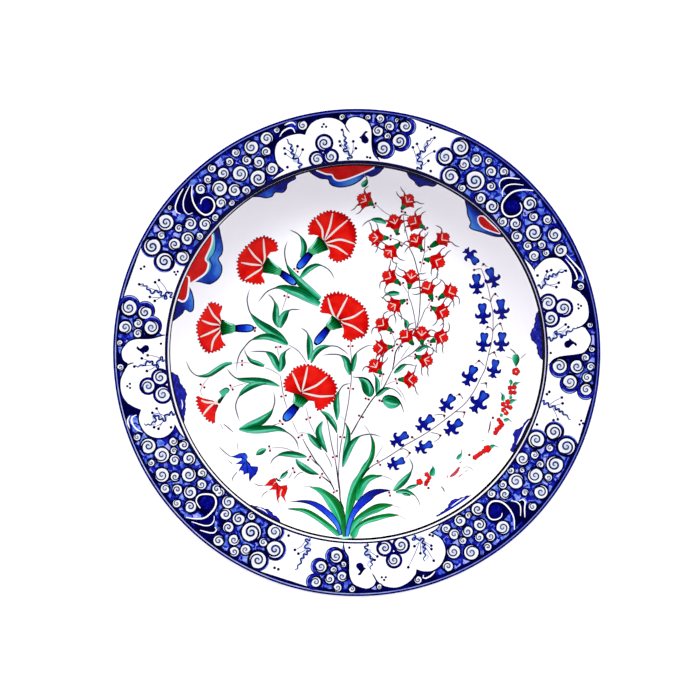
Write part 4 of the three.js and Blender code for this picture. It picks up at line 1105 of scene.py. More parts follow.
def tulips():
    """The blue and the red tulip at the lower left, each with whiskers at its torn tips."""
    blue = [(-68.5, -61.6), (-67, -62.8), (-66.5, -64.5), (-67.2, -65.8), (-66.5, -67), (-65.2, -68),
        (-64.6, -69.8), (-61, -70), (-60.2, -70.3), (-60.3, -72.5), (-61.5, -75), (-64, -77.3),
        (-65.3, -79.8), (-65.9, -77), (-65.9, -74.2), (-67.5, -74.5), (-69.2, -75.3), (-69.3, -73),
        (-71, -72.3), (-72.3, -73.6), (-71.5, -71), (-70, -68.8), (-72.5, -68.6), (-74.6, -68.8),
        (-72.5, -67.5), (-70.3, -66), (-70.5, -65.2), (-73, -65.2), (-77.2, -64), (-74.5, -63.3),
        (-71.5, -61.9)]
    red = [(-50.2, -77), (-49.3, -78), (-49, -79.5), (-48, -80.5), (-47.8, -81.5), (-46.2, -82),
        (-43.5, -81.4), (-42.6, -81.4), (-42.1, -83.5), (-43, -86.5), (-44, -88.5), (-42.9, -92.5),
        (-45, -89.5), (-46.2, -88), (-47, -88.7), (-47.8, -90), (-47.2, -93.3), (-48.7, -90.3), (-49.2, -87),
        (-49.3, -84.5), (-51.5, -84.2), (-54.3, -85), (-52.5, -83.5), (-51.2, -82), (-53.5, -82),
        (-57.2, -81.8), (-55, -80.5), (-53, -78.2)]
    for points in ([(-77, -64), (-81, -61), (-84.5, -57.5)], [(-76, -68.3), (-80, -65.3)],
                   [(-73, -73.4), (-75.4, -76.4), (-76.2, -79.4)]):
        stroke(points, 0.65, "stem", "blue_tulip", 0.9, 0.2)
    paint(blue, "navy", "blue_tulip", 0.5, PETAL_LIFT / 2)
    paint(offset(blue, -0.4), "azure", "blue_tulip",
          lambda x, y: 0.75 - 0.06 * math.dist((x, y), (-67, -66)), PETAL_LIFT)
    for end in ((-71.4, -63.4), (-71.2, -71.4), (-66.4, -75), (-62.4, -73)):
        stroke([(-67.4, -66.6), between((-67.4, -66.6), end, 0.5), end], 0.6, "navy", "blue_tulip", 0.3, 0.2)
    for points in ([(-57.2, -81.8), (-60, -81.6), (-63, -80.2)], [(-54.3, -85), (-57, -87), (-58.4, -89.6)]):
        stroke(points, 0.6, "stem", "red_tulip", 0.9, 0.2)
    paint(red, "maroon", "red_tulip", 0.9, PETAL_LIFT / 2)
    paint(offset(red, -0.35), "red", "red_tulip", 0.7, PETAL_LIFT)
    stroke([(-45.4, -83.6), (-46.4, -85.6), (-46.6, -88)], 0.7, "vein", "red_tulip", 0.3, 0.9)
    stroke([(-49.6, -79.6), (-51, -81)], 0.7, "vein", "red_tulip", 0.5, 0.9)
    for end in ((-53.4, -80.6), (-48, -86.8), (-43.6, -85.4)):
        stroke([(-48.6, -80.6), between((-48.6, -80.6), end, 0.5), end], 0.5, "maroon", "red_tulip", 0.3, 0.2)
    stroke([(-49.5, -77), (-48, -78.6), (-46.2, -79)], 1.1, "leaf_line", "red_tulip", 0.6, 0.6)


FLORET_HALF = [(0, 0.5), (1, 0), (2.1, 0.2), (2.75, 1.2), (2.6, 2.6), (2, 4.2), (1.7, 5.5), (2.2, 6.6),
    (3, 6.9), (3.6, 6.3), (3.8, 5.6), (4.6, 5.7), (5, 6.8), (4.6, 8.2), (3.4, 9), (2.2, 9.1), (1.3, 9.1),
    (1.3, 9.9), (2, 10.8), (2.9, 11.6), (2.6, 12.4), (1.5, 12.1), (0.9, 12.2), (0, 12.9)]
FLORET_LENGTH = 12.9
FLORETS = [((74, 54), 130, 12), ((73.3, 48), -87, 13), ((80.8, 51.5), -70, 13), ((76.8, 30), -85, 13.5),
    ((88, 32.5), -84, 13), ((78.5, 12), -97, 12.5), ((89.3, 12.3), -95, 12.5), ((72.5, -8.5), -116, 13.5),
    ((85.5, -4.5), -102, 12), ((79.5, -24.5), -125, 15), ((59.5, -26.5), -128, 12.5),
    ((64.5, -42), -142, 13), ((47, -39.5), -140, 13), ((31.5, -50), -147, 12.5), ((46.5, -56), -158, 11.5),
    ((29.5, -66), -158, 11.5)]
HYACINTH_STEM = [(3, -76.5), (6, -73), (9, -70.3), (18, -65), (22, -62.5), (26, -59.9), (30, -57),
    (38, -52.5), (46, -47.5), (53.5, -42), (60, -37), (66, -32), (70, -27), (73, -22), (76, -16),
    (78.5, -11), (79.8, -6), (81.2, 0), (82.5, 5), (83.5, 12), (83.6, 18), (83.5, 24), (82.3, 30),
    (81.3, 36), (80, 41), (78.3, 46), (76.3, 51)]
# Each pedicel runs past its dark red dot, which is the point with this number.
PEDICELS = [([(26, -59.9), (29, -59.3), (31, -60.3), (32.5, -61.8), (31.5, -63.5), (30, -65)], 3),
    ([(45.5, -49.3), (49, -50), (51.3, -51.2), (50, -53.5), (47.5, -55)], 2),
    ([(36, -53.6), (34, -52.2)], 1), ([(54, -40.8), (53.7, -39), (51.5, -38.2), (47.5, -38.7)], 1),
    ([(60, -36.7), (66, -37), (65, -40.5)], 1), ([(65.2, -29), (64.3, -27), (63, -26), (61, -26.7)], 2),
    ([(76, -19.3), (79.3, -19.2), (79.8, -22.5)], 1), ([(78.3, -8.5), (76.5, -6.5), (75, -5.5),
    (72.8, -7.3)], 2), ([(81, -2), (82.5, -0.8), (84.3, -0.3), (85.8, -3.3)], 2), ([(83.4, 12.5),
    (82.5, 14.5), (80.3, 15.3), (79, 13.5)], 2), ([(83.6, 13), (85.5, 16), (88, 17.3), (89.7, 13)], 2),
    ([(82.2, 30.5), (80.5, 32.2), (77.3, 33.2)], 2), ([(82.2, 30.5), (83, 33.5), (84.9, 35.5), (87, 33.5)],
    2), ([(76.3, 50.8), (74.5, 50.9), (72, 50.2)], 2), ([(76.5, 52.5), (77.7, 53.7), (80, 52)], 1)]


def hyacinth():
    """A bent stem of blue bell florets: each has a round bulb, curled lobes and a flared mouth."""
    piece = "hyacinth_spray"
    stroke(HYACINTH_STEM, 0.62, "stem", piece, 1.0, 0.7, shade=lambda x, y: 0.2 + max(0, y + 80) / 90)
    stroke(HYACINTH_STEM[:3], 1.1, "black", piece, 0.6, 0.3)
    for points, berry in PEDICELS:
        stroke(points, 0.6, "stem", piece, 0.8, 0.6)
        dot(points[berry], 0.85, "dot", piece)
    for start, direction, length in FLORETS:
        scale = length / FLORET_LENGTH
        half = [(u * scale * random.uniform(0.95, 1.05), v * scale) for u, v in FLORET_HALF]
        outline = catmull(local(start, direction, mirrored(half)), True, 0.8)
        paint(outline, "navy", piece, 0.7, PETAL_LIFT / 2)
        paint(offset(outline, -0.42), "blue", piece, 0.3, PETAL_LIFT)
        bulb = local(start, direction, mirrored([(0, 1.2), (1.2, 1.0), (1.8, 2.0), (1.4, 3.9), (0.9, 5.6),
                                                 (0.8, 7.6), (0.4, 8.8), (0, 9.2)]))
        end = local(start, direction, [(0, 2.4)])[0]
        paint(catmull(bulb, True, 0.9), "blue", piece,
              lambda x, y, end=end: 1.05 - math.dist((x, y), end) / 8, PETAL_LIFT)


# Rosebuds: centre, direction from calyx to tip, calyx.
ROSEBUDS = [((5, 93), 150, (8.5, 91)), ((31.4, 92.5), 50, (28.8, 89)), ((23.3, 79.5), 105, (24.5, 74)),
    ((35.5, 79.5), 150, (39.8, 77)), ((12, 70), 180, (17.5, 69.9)), ((36.3, 68.2), 125, (39, 64.3)),
    ((53, 69.3), 32, (47, 65.5)), ((20.5, 61.3), 222, (24.8, 65)), ((49.5, 55.5), 340, (43.5, 56.5)),
    ((20, 46), 150, (25, 42.9)), ((33.4, 46), 82, (32.5, 40.8)), ((43.5, 39.3), 115, (45.7, 33.8)),
    ((57.5, 36.9), 28, (52.2, 34)), ((23, 28.4), 205, (28, 30.9)), ((52.3, 24.5), 335, (47.8, 26.4)),
    ((15.7, 17), 145, (20, 14)), ((30.3, 9.8), 135, (33.5, 6)), ((39.9, 11), 90, (40, 6.6)),
    ((52, 9.2), -15, (47, 7)), ((14.7, 2.3), 180, (20, 3)), ((42.5, -5), 340, (38.3, -3.3)),
    ((11.5, -8.6), 125, (14, -11.9)), ((33, -16.9), 0, (27.7, -16.9))]
BUD_DOTS = [((10.7, 88.6), (11.7, 91)), ((27.6, 86), (29.8, 85.3)), ((24.7, 72), (26, 72.3)),
    ((42, 75), (43.4, 76)), ((21, 71.2), (20.8, 68.9)), ((39.5, 61.8), (41.2, 62.4)),
    ((43.9, 64.3), (45, 62.8)), ((26.2, 67), (27.4, 65.1)), ((39, 54.9), (41.2, 54.2)),
    ((26.7, 41), (28.6, 42.3)), ((46.3, 31.2), (44.3, 31.9)), ((48.9, 33.9), (50.4, 32)),
    ((31, 32), (31, 29.6)), ((45.6, 27.9), (45.6, 25.4)), ((21, 11.5), (22.5, 12.2)),
    ((24.8, 4.6), (27.6, 3.4)), ((43.8, 6.9), (45.5, 4.3)), ((23, 3.8), (22, 0.8)), ((36, -1.5), (35.8, -4)),
    ((14.3, -14.8), (16.5, -13.6)), ((23.9, -16.5), (24.8, -19.2)), ((5.5, -28.5), (7.5, -29.1)),
    ((14, -29.7), (15.6, -30.2))]
# Stems of the rosebud spray: (points, width).
ROSE_STEMS = [([(-3.5, -50.4), (3.1, -39.2), (9, -30), (12, -26.5), (16, -22.5), (19, -17), (21.5, -12),
    (23.5, -9)], 1.1), ([(23.5, -9), (27, -5.5), (31, -2.8), (35, 0), (40, 4), (44, 5.5)], 0.75),
    ([(31, -2.8), (33, -2.6), (35, -2.9)], 0.5), ([(22, -11), (23, -6), (23.7, -1), (25, 2), (27, 5.5)],
    1.15), ([(27, -4.5), (30, 0), (33, 4)], 0.45), ([(33, -1.5), (38, 3), (39.5, 5)], 0.6),
    ([(34, 10), (35.2, 11.6), (36.3, 13.7)], 0.9), ([(36.3, 13.7), (36, 18), (35, 24), (33.5, 30), (32, 34),
    (31.5, 40)], 0.7), ([(36.3, 13.7), (38, 20), (38.8, 28), (39, 36), (38.5, 44), (37.8, 48), (37, 51),
    (35.3, 57.5), (33, 62.5), (31.5, 64.8), (28, 66.8), (25, 68.5), (21.5, 69.7)], 0.85), ([(37, 15),
    (39.5, 20), (41.5, 25), (43, 27), (46, 26.5)], 0.6), ([(43, 27), (44.5, 29.5), (45.4, 31.4)], 0.5),
    ([(33, 64), (31, 71), (29.3, 78), (28.5, 84)], 0.6), ([(12, 90), (18, 85), (24, 82.4)], 0.5), ([(39, 49),
    (39.8, 53), (40.5, 56.5), (41.5, 60.7), (41.8, 68), (42, 73)], 0.6),
    ([(40.5, 56), (41.6, 56.2), (43, 57)], 0.5), ([(41.5, 60.7), (42.6, 61.6), (44, 63)], 0.5),
    ([(28, 41.5), (30, 38.5), (31.5, 36)], 0.5), ([(21.8, 11), (23, 8), (23.5, 5)], 0.4), ([(16, -14.5),
    (15.5, -18), (15.5, -21)], 0.45), ([(24, -17.8), (21, -18.7), (18, -20.2)], 0.5)]
BUD_CUP = [(0, -5.3), (1.3, -4.9), (2.4, -3.7), (3.6, -2.2), (6.1, -1.3), (4.9, 0.1), (3.9, 0.6), (4.5, 1.5),
    (5.6, 3.1), (3.8, 2.5), (2.6, 1.4), (1.2, 0.1), (0, -1)]
BUD_HEART = [(0, -0.5), (1.3, 0.8), (2.5, 1.8), (3.2, 2.2), (2.9, 3.1), (2.1, 3.2), (2.2, 4), (1.4, 4.7),
    (0.7, 4.4), (0, 5.3)]
BUD_TIPS = ((5.9, -1.0), (5.5, 2.9))


def rosebud(centre, direction, foot, piece):
    """A small red bud: a lobed heart in a cup of pointed petals, each drawn out into a long whisker."""
    turn = direction + random.uniform(-6, 6)
    size = random.uniform(0.87, 1.0)
    for side in (1, -1):
        curve = random.choice((-1, 1, 1))
        for across, along in BUD_TIPS:
            if random.random() < 0.15:
                continue
            reach = random.uniform(0.8, 1.15)
            whisker = [(side * (across - 1.2), along - 0.3), (side * across, along),
                       (side * (across + 2.0 * reach), along + curve * 0.4 * reach),
                       (side * (across + 4.2 * reach), along + curve * 1.9 * reach)]
            tail_line(catmull(local(centre, turn, whisker), step=0.9), piece, 0.7)
    for half, tone in ((BUD_CUP, 0.6), (BUD_HEART, 0.85)):
        outline = local(centre, turn, [(u * size, v * size) for u, v in mirrored(half)])
        paint(offset(outline, 0.18), "maroon", piece, 0.9)
        paint(offset(outline, -0.2), "red", piece, tone, PETAL_LIFT)
    for side in (1, -1):
        fold = [(0, -1.1), (side * 1.3, 0.25), (side * 2.7, 1.5)]
        stroke(local(centre, turn, fold), 0.62, "vein", piece, 0.8, 0.7, 0.8)
        crease = [(side * 1.2, -3.4), (side * 2.2, -1.6), (side * 3.6, -0.2)]
        stroke(local(centre, turn, crease), 0.4, "maroon", piece, 0.6, 0.6, 0.9)
    if random.random() < 0.5:
        stroke(local(centre, turn, [(0, -1.0), (0.1, 0.8), (0, 2.4)]), 0.45, "vein", piece, 0.8, 0.3, 0.9)
    axis = math.degrees(math.atan2(centre[1] - foot[1], centre[0] - foot[0]))
    reach = max(1.0, math.dist(centre, foot) - 4.7 * size)
    oval = [(0, -2.2), (0.9, -1.5), (1.5, -0.2), (1.8, reach - 0.2), (0.8, reach - 0.1), (0, reach + 0.6)]
    paint(catmull(local(foot, axis, mirrored(oval)), True, 0.8), "calyx", piece,
          lambda x, y: 0.55 - 0.45 * math.dist((x, y), foot) / 2.4)
    stroke(local(foot, axis, [(-1.2, -1.2), (0, -2.3), (1.2, -1.2)]), 0.5, "leaf_line", piece, 0.6, 0.6, 0.6)


def rosebud_spray():
    """The branching stems of the red spray, the dots at their forks and the buds at their ends."""
    piece = "rosebud_spray"
    for points, width in ROSE_STEMS:
        colour = "black" if width > 0.8 else "stem" if width > 0.5 else "grey"
        stroke(points, 0.25 + 0.5 * width, colour, piece, 0.7, 0.5)
    for a, b in BUD_DOTS:
        pair(a, b, piece)
    for centre, direction, foot in ROSEBUDS:
        rosebud(centre, direction, foot, piece)


BERRY_REDS = [((97.5, -12), 2.6), ((94, -22), 1.6), ((96.5, -21.6), 1.5), ((94.4, -24.8), 1.5),
    ((96.6, -24.8), 1.4), ((92.5, -30.5), 1.7), ((89.8, -32), 1.6), ((92, -33), 1.6), ((94, -34), 1.5),
    ((90, -35.5), 1.7), ((91.5, -37.3), 1.6), ((80, -59.3), 2.5), ((38.5, -79.5), 2.1)]
BERRY_WORMS = [([(87, -41.5), (88.8, -44.5), (86, -47.5), (85, -49.5)], 2.7), ([(78, -60.6), (76, -62),
    (72.5, -64.5)], 2.7), ([(43, -75), (44.5, -77), (43.5, -79), (42.5, -81)], 2.7),
    ([(40, -80.3), (42, -79.5)], 0.8)]
BERRY_LEAVES = [([(97, -1.5), (97.6, -5), (97.5, -9)], 3.6, 0), ([(93.8, -17), (94.6, -18.8), (94, -20.5)],
    1.8, 0), ([(96, -21), (97, -19.5), (100.5, -18.5)], 1.8, 0.3), ([(94, -26.5), (94.4, -27.8),
    (93.5, -29)], 1.6, 0), ([(89.5, -30), (89.7, -27), (88, -24.5)], 2, 0.3), ([(94, -32), (95, -30),
    (98.5, -29.2)], 2, 0.3), ([(88.5, -39.8), (88.9, -38.6), (88.2, -37.4)], 2, 0), ([(90, -42), (93, -41.3),
    (95, -43)], 1.9, 0.4), ([(81, -59), (84, -57.3), (87, -58.5)], 2, 0.4), ([(61.5, -65.8), (64, -62.5),
    (64.6, -59)], 2, 0.4), ([(46.2, -76), (46.6, -73.4), (47, -71), (46.5, -69.5)], 3, 0.3)]
BERRY_LINES = [([(94, 2), (96.5, 0), (98, -2.5)], 0.7, "stem"), ([(91.5, -3), (93.6, -3.4), (95.5, -4.5)],
    0.5, "grey"), ([(103.5, -1), (102, -2.4), (100, -4.5)], 0.5, "grey"), ([(82, -42), (81.5, -46),
    (80.5, -50)], 0.8, "maroon"), ([(76.5, -54.7), (78.2, -53.8)], 0.9, "stem"),
    ([(63, -67.8), (64.4, -67.2)], 1.2, "maroon"), ([(63, -70.3), (60.5, -74), (57, -76.5)], 1.3, "rose"),
    ([(55.3, -75.5), (55.8, -77)], 1, "rose"), ([(62.5, -76.3), (65, -74.5)], 1, "rose"), ([(64.8, -71),
    (68, -70.3), (70.5, -71.5), (71.8, -73.5)], 0.5, "grey"), ([(66, -74), (67.6, -72.4), (69, -71.5)], 0.5,
    "grey"), ([(51.5, -82), (53.3, -84), (53.7, -86)], 0.8, "stem"),
    ([(49.8, -83.8), (51.6, -84)], 0.4, "grey")]


def berry_spray():
    """The small red spray beside the wall: round berries, short red strokes and little leaves."""
    piece = "berry_spray"
    for points, width, colour in BERRY_LINES:
        stroke(points, width * (1.6 if colour == "rose" else 1.1), colour, piece, 0.5, 0.3)
    for points, width, tail in BERRY_LEAVES:
        leaf(points, 1.25 * width, 1, tail, 0.2, piece, edge=False)
    lumps = [(point, width / 2 * random.uniform(0.95, 1.3)) for points, width in BERRY_WORMS
             for point in catmull(points, step=1.7)]
    for grow, colour, lift in ((0.22, "maroon", 0.0), (-0.15, "red", PETAL_LIFT)):
        for centre, size in BERRY_REDS + lumps:
            lobes = []
            for turn in np.linspace(0, 360, 26)[:-1]:
                wave = 0.08 * size * math.cos(math.radians(5 * turn))
                lobes.append(plus(centre, polar(turn, size * 0.86 + grow + wave)))
            paint(lobes, colour, piece, 0.8, lift)
    for centre in ((97.5, -12), (95.3, -23.2), (91.4, -32.2), (90.8, -36.4)):
        dot(centre, 0.5, "vein", piece)
    for centre in ((83.5, -40.3), (69, -63), (44, -83.3)):
        dot(centre, 0.85, "dot", piece)


# ---------------------------------------------------------------- the half flowers that hug the well's wall
def wall_patch(inner, wave=0.0):
    """An outline that runs from a free edge, with small waves or none, out to the well's line."""
    line = catmull(inner, step=1.0)
    line = beside(line, [wave * math.sin(i * 1.9) for i in range(len(line))])
    first, last = (math.degrees(math.atan2(y, x)) for x, y in (line[0], line[-1]))
    sweep = (first - last + 180) % 360 - 180
    count = max(3, round(abs(sweep) / 1.2))
    return line + [polar(last + sweep * i / count, WELL_EDGE) for i in range(count + 1)]


def against_wall(inner, colour, piece, shade=0.5, lift=0.0):
    """Paints all that lies between a free edge and the well's line."""
    paint(wall_patch(inner), colour, piece, shade, lift)


LIGHT_MOTIFS = ("left_rosette", "top_right_petal", "top_red_petal", "top_left_petal")


def wall_motifs():
    """The half flowers, each a dark edge and a wash, with what is drawn on them."""
    blue_edges = [
        ("left_rosette", [(-83.8, 76.6), (-82.9, 72.1), (-81.5, 64.1), (-82.2, 59.6), (-84.2, 57),
         (-82.2, 52.9), (-82.2, 48.9), (-84.2, 44.9), (-88.2, 41.8), (-90.9, 41.3), (-97.1, 42.7),
         (-102.4, 41.8), (-100.3, 36.4), (-99.2, 31.1), (-99.6, 25.7), (-102, 24.2), (-104.7, 25.7),
         (-106.5, 23), (-112.1, 18.5)]),
        ("left_edge_petal", [(-113, -12.1), (-108.8, -14.7), (-107.6, -18.8), (-104.7, -22.8),
         (-103.6, -26.3), (-104.5, -29), (-104.3, -35.7), (-105, -39.3), (-105, -43.2)]),
        ("lower_left_petal", [(-65, -93.2), (-60, -94.4), (-57, -95.3), (-54, -96), (-51.5, -98),
         (-50.5, -99.5), (-48, -100.8), (-46.3, -103.8)]),
        ("lower_right_petal", [(73, -87.1), (68, -87.6), (62, -89.5), (59, -90), (56.5, -92.5), (55.3, -95),
         (51.5, -98), (48.5, -100.2), (50, -102.1)]),
        ("right_edge_petal", [(106.4, -40), (104, -41.4), (102.5, -43), (100.5, -46), (97.5, -47.3),
         (95.5, -50), (96.3, -53.5), (95, -57), (93.7, -60.5), (95.8, -61.2)]),
        ("right_upper_petal", [(110.8, 25.4), (109.2, 22), (108.8, 18), (108, 15), (106.5, 12.5),
         (106.2, 9.5), (107.5, 6.5), (109.5, 4.8), (110.3, 1), (111, -2), (113.2, -5)]),
        ("top_right_petal", [(65.8, 92.7), (67, 88), (67.5, 84), (69.5, 79), (68.7, 77), (70, 75),
         (76.9, 72.8), (84, 70.4), (89.6, 70)]),
        ("top_right_petal", [(30.5, 109.5), (32, 106.5), (35.3, 104), (36, 102.5), (38.5, 100.7),
         (41.5, 101.5), (44, 101.3), (47, 100.8), (49.4, 102.4)]),
        ("top_red_petal", [(-29.8, 110.5), (-26.6, 108.1), (-22.2, 105.8), (-17.6, 105.2), (-16.6, 102.8),
         (-14.1, 101.2), (-9.2, 100.5), (-2.7, 101.8), (2.1, 104.5), (5.9, 107.6), (8.6, 106.9),
         (11.3, 107.5), (14, 109.2), (16.7, 112)]),
        ("top_left_petal", [(-37.2, 107.5), (-37, 105.6), (-41.8, 102.8), (-42.6, 99.6), (-45, 97.2),
         (-49.6, 97.2), (-51.4, 94.8), (-55.4, 93.8), (-59.5, 94.5), (-63.4, 94.4)]),
    ]
    for piece, inner in blue_edges:
        light = piece in LIGHT_MOTIFS
        outline = wall_patch(inner, 0.0 if light else 0.22)
        paint(outline, "navy", piece)
        inset = [p for p in offset(outline, -0.75 if light else -0.5) if math.hypot(*p) < WELL_EDGE]
        paint(inset, "sky" if light else "cobalt", piece, sky_shade if light else 0.4)
    left_flower()
    top_flower()
    band_of_white("lower_right_petal", (73, -87.1), (48.5, -102.1), 112.1)
    for piece, points in (("lower_left_petal", [(-61, -94.9), (-57, -96.4), (-54.2, -98.6)]),
                          ("left_edge_petal", [(-107, -29), (-106.3, -32), (-106.6, -35)]),
                          ("lower_right_petal", [(66, -88.8), (61.4, -91.8), (57.6, -94.6)])):
        stroke(points, 0.55, "white", piece)
    stroke([(105.6, -41.6), (103, -45.4), (100.4, -51), (97.6, -56.6)], 0.9, "white", "right_edge_petal")
    tear = [(74.6, 82.2), (75, 79), (77.6, 76.2), (82, 74.2), (87.4, 72.6), (84.6, 75.6), (80.2, 79.8),
        (77, 82.6)]
    paint(catmull(offset(tear, 0.75), True), "white", "top_right_petal")
    paint(catmull(tear, True), "red", "top_right_petal", 0.6, PETAL_LIFT)


def sky_shade(x, y):
    """A wash that runs in broad bands along the wall and darkens toward the rim."""
    return 0.5 + 0.3 * math.sin(x / 4.5 + y / 7) - 0.6 * max(0.0, (math.hypot(x, y) - 106) / 8)


def band_of_white(piece, start, end, radius):
    """White left between a motif and the well's line."""
    first, last = (math.degrees(math.atan2(y, x)) for x, y in (start, end))
    angles = [first + (last - first) * i / 24 for i in range(25)]
    paint(polars([(a, radius) for a in angles] + [(a, WELL_EDGE) for a in angles[::-1]]), "white", piece)


def lotus(heart, layers, piece):
    """Half a flower against the wall: its red heart, with bands outside it that keep to its lobes."""
    for grow, colour, tone in layers:
        lift = PETAL_LIFT if colour == "red" else 0.0
        against_wall(beside(heart, [grow] * len(heart)), colour, piece, tone, lift)


def left_flower():
    """Half a lotus against the left wall: blue, then turquoise, a white line and a red heart."""
    piece = "left_rosette"
    turquoise = [(-86.6, 73.2), (-85.8, 70.6), (-85.7, 64.4), (-86.9, 60.2), (-89.4, 56.8), (-88, 53.7),
        (-89.2, 49.8), (-93.2, 46), (-97.4, 44), (-101.6, 42.6)]
    against_wall(turquoise, "sky", piece, 0.1)
    against_wall([(x - 0.85, y - 0.2) for x, y in turquoise], "turquoise", piece, lambda x, y: (y - 40) / 34)
    heart = [(-88.4, 71.2), (-88.7, 67.5), (-89.9, 63.5), (-92.8, 56.8), (-91.2, 54.4), (-91.4, 51.4),
        (-93, 48.4), (-97, 45.3), (-101.6, 42.4), (-104, 42.6)]
    lotus(heart, ((1.1, "white", 0.5), (0, "red", 0.75)), piece)
    small = "left_small_petal"
    petal = [(-102.9, 45.7), (-102.8, 43.1), (-103.3, 37.8), (-103.7, 34.6), (-104.9, 32), (-106.2, 31.3),
        (-108.2, 32.2)]
    lotus(petal, ((1.1, "white", 0.5), (0, "red", 0.6)), small)


def top_flower():
    """Half a red lotus under the top of the rim, with a white line and a blue edge."""
    heart = [(-24.4, 111.3), (-18.9, 109.2), (-14.8, 108.6), (-13.7, 106.6), (-11.4, 105.2), (-7.1, 105.7),
        (-1.7, 107.5), (3.7, 109.7), (8.1, 111.6), (10.4, 112.8)]
    lotus(heart, ((-0.9, "white", 0.5), (0, "red", 0.6)), "top_red_petal")


def well():
    """Everything inside the well, from what lies lowest to what lies on top."""
    wall_motifs()
    tuft()
    leaves()
    hyacinth()
    rosebud_spray()
    berry_spray()
    tulips()
    carnations()


def cad(prefix):
    """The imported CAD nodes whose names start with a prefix."""
    return tuple(sorted(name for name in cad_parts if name.startswith(prefix)))


# Each painted piece of the well: its slot and the CAD nodes that it stands for.
PAINTED = {
    "well_ground": ("white_glaze", ("face_slip", "face_glaze")),
    "leaf_sprays": ("leaf_green", ("face_glaze",)),
    "tuft_leaves": ("copper_green", cad("tuft_leaf")),
    "hyacinth_spray": ("cobalt", ("hyacinth_spray",)),
    "rosebud_spray": ("bole_red", ("rosebud_spray",)),
    "berry_spray": ("bole_red", ("berry_spray",)),
    "blue_tulip": ("cobalt", ("blue_tulip",)),
    "red_tulip": ("bole_red", ("red_tulip",)),
    "left_rosette": ("light_blue", ("left_rosette", "left_rosette_heart")),
}
for petal in ("left_small_petal", "left_edge_petal", "lower_left_petal", "lower_right_petal",
              "right_edge_petal", "right_upper_petal", "top_right_petal", "top_red_petal", "top_left_petal"):
    PAINTED[petal] = ("bole_red" if petal in ("top_red_petal", "left_small_petal") else "cobalt", (petal,))
for number in range(1, len(CARNATIONS) + 1):
    PAINTED[f"carnation_{number}"] = ("bole_red", cad(f"carnation_{number}_"))


# ---------------------------------------------------------------- from the drawing to meshes
AROUND = 480
LATHE_AROUND = 240
NORMAL_STEP = 0.04
CONTROL = ((0, 108, 2.0), (108, 121, 0.9), (121, LIP_START, 1.5))


def net():
    """Plain points all over the face, close together where it turns, so that it is smooth between shapes."""
    points = [(0.0, 0.0)]
    row = 0
    for start, end, gap in CONTROL:
        radius = max(start, gap)
        while radius < end - gap * 0.4:
            count = max(6, round(2 * math.pi * radius / (gap * 1.15)))
            shift = 0.5 * (row % 2)
            points += [(radius * math.cos(2 * math.pi * (i + shift) / count),
                        radius * math.sin(2 * math.pi * (i + shift) / count)) for i in range(count)]
            radius += gap
            row += 1
    for radius in LIP_ALONG[::2]:
        points += [polar(360 * i / AROUND, radius) for i in range(AROUND)]
    if LIP_ALONG[::2][-1] != FLAT_RADIUS:
        points += [polar(360 * i / AROUND, FLAT_RADIUS) for i in range(AROUND)]
    return points


def inside(points, outline):
    """Which of the points an outline winds round; loops that an inset has turned over don't count."""
    turns = np.zeros(len(points), int)
    px, py = points[:, 0], points[:, 1]
    for (ax, ay), (bx, by) in zip(outline, outline[1:] + outline[:1]):
        left = (bx - ax) * (py - ay) - (px - ax) * (by - ay)
        turns += (ay <= py) & (py < by) & (left > 0)
        turns -= (by <= py) & (py < ay) & (left < 0)
    return turns > 0


def topmost(middles):
    """The number of the last shape painted over each point, or -1 where none is."""
    order = np.argsort(middles[:, 0])
    sorted_x = middles[order, 0]
    tops = np.full(len(middles), -1)
    for number, (outline, *_) in enumerate(shapes):
        xs, ys = [p[0] for p in outline], [p[1] for p in outline]
        near = order[np.searchsorted(sorted_x, min(xs)):np.searchsorted(sorted_x, max(xs))]
        near = near[(middles[near, 1] > min(ys)) & (middles[near, 1] < max(ys))]
        tops[near[inside(middles[near], outline)]] = number
    return tops


def inlay():
    """Cuts the whole face along every outline, and gives each triangle its topmost patch."""
    points = [Vector(p) for p in net()]
    edges = []
    for quarter in range(4):
        angle = quarter * 90 + 45
        first = len(points)
        points += [Vector(polar(angle, WELL_EDGE)), Vector(polar(angle, FLAT_RADIUS))]
        edges.append((first, first + 1))
    for outline, *_ in shapes:
        first = len(points)
        count = len(outline)
        points += [Vector(p) for p in outline]
        edges += [(first + i, first + (i + 1) % count) for i in range(count)]
    flat, _, triangles, *_ = delaunay_2d_cdt(points, edges, [], 0, 1e-4, False)
    flat = np.array([tuple(p) for p in flat])
    triangles = np.array(triangles)
    return flat, triangles, topmost(flat[triangles].mean(axis=1))


def surface(flat, corners, tops):
    """Where the net's points lie on the plate, and their normals."""
    x, y = flat.T
    lift = np.full(len(flat), np.inf)
    for k in range(3):
        np.minimum.at(lift, corners[:, k], [top.lift for top in tops])
    lift[np.isinf(lift)] = 0
    place = on_face(x, y, lift)
    step = NORMAL_STEP
    along_x = on_face(x + step, y) - on_face(x - step, y)
    along_y = on_face(x, y + step) - on_face(x, y - step)
    smooth = np.cross(along_x, along_y)
    smooth /= np.linalg.norm(smooth, axis=1)[:, None]
    a, b, c = (place[corners[:, k]] for k in range(3))
    raised = np.zeros(len(flat), bool)
    raised[corners[(lift[corners].max(axis=1) > 0)].ravel()] = True
    bumpy = np.zeros_like(place)
    for k in range(3):
        np.add.at(bumpy, corners[:, k], np.cross(b - a, c - a))
    size = np.linalg.norm(bumpy, axis=1)
    raised &= size > 1e-9
    smooth[raised] = bumpy[raised] / size[raised][:, None]
    return place, smooth


def piece_of(middle, top):
    """The piece that a triangle belongs to, from its middle and the shape on top of it."""
    if top.piece == RIM or (top is BARE and math.hypot(*middle) > WELL_EDGE - 0.05):
        return rim_piece(math.degrees(math.atan2(middle[1], middle[0])))
    return top.piece


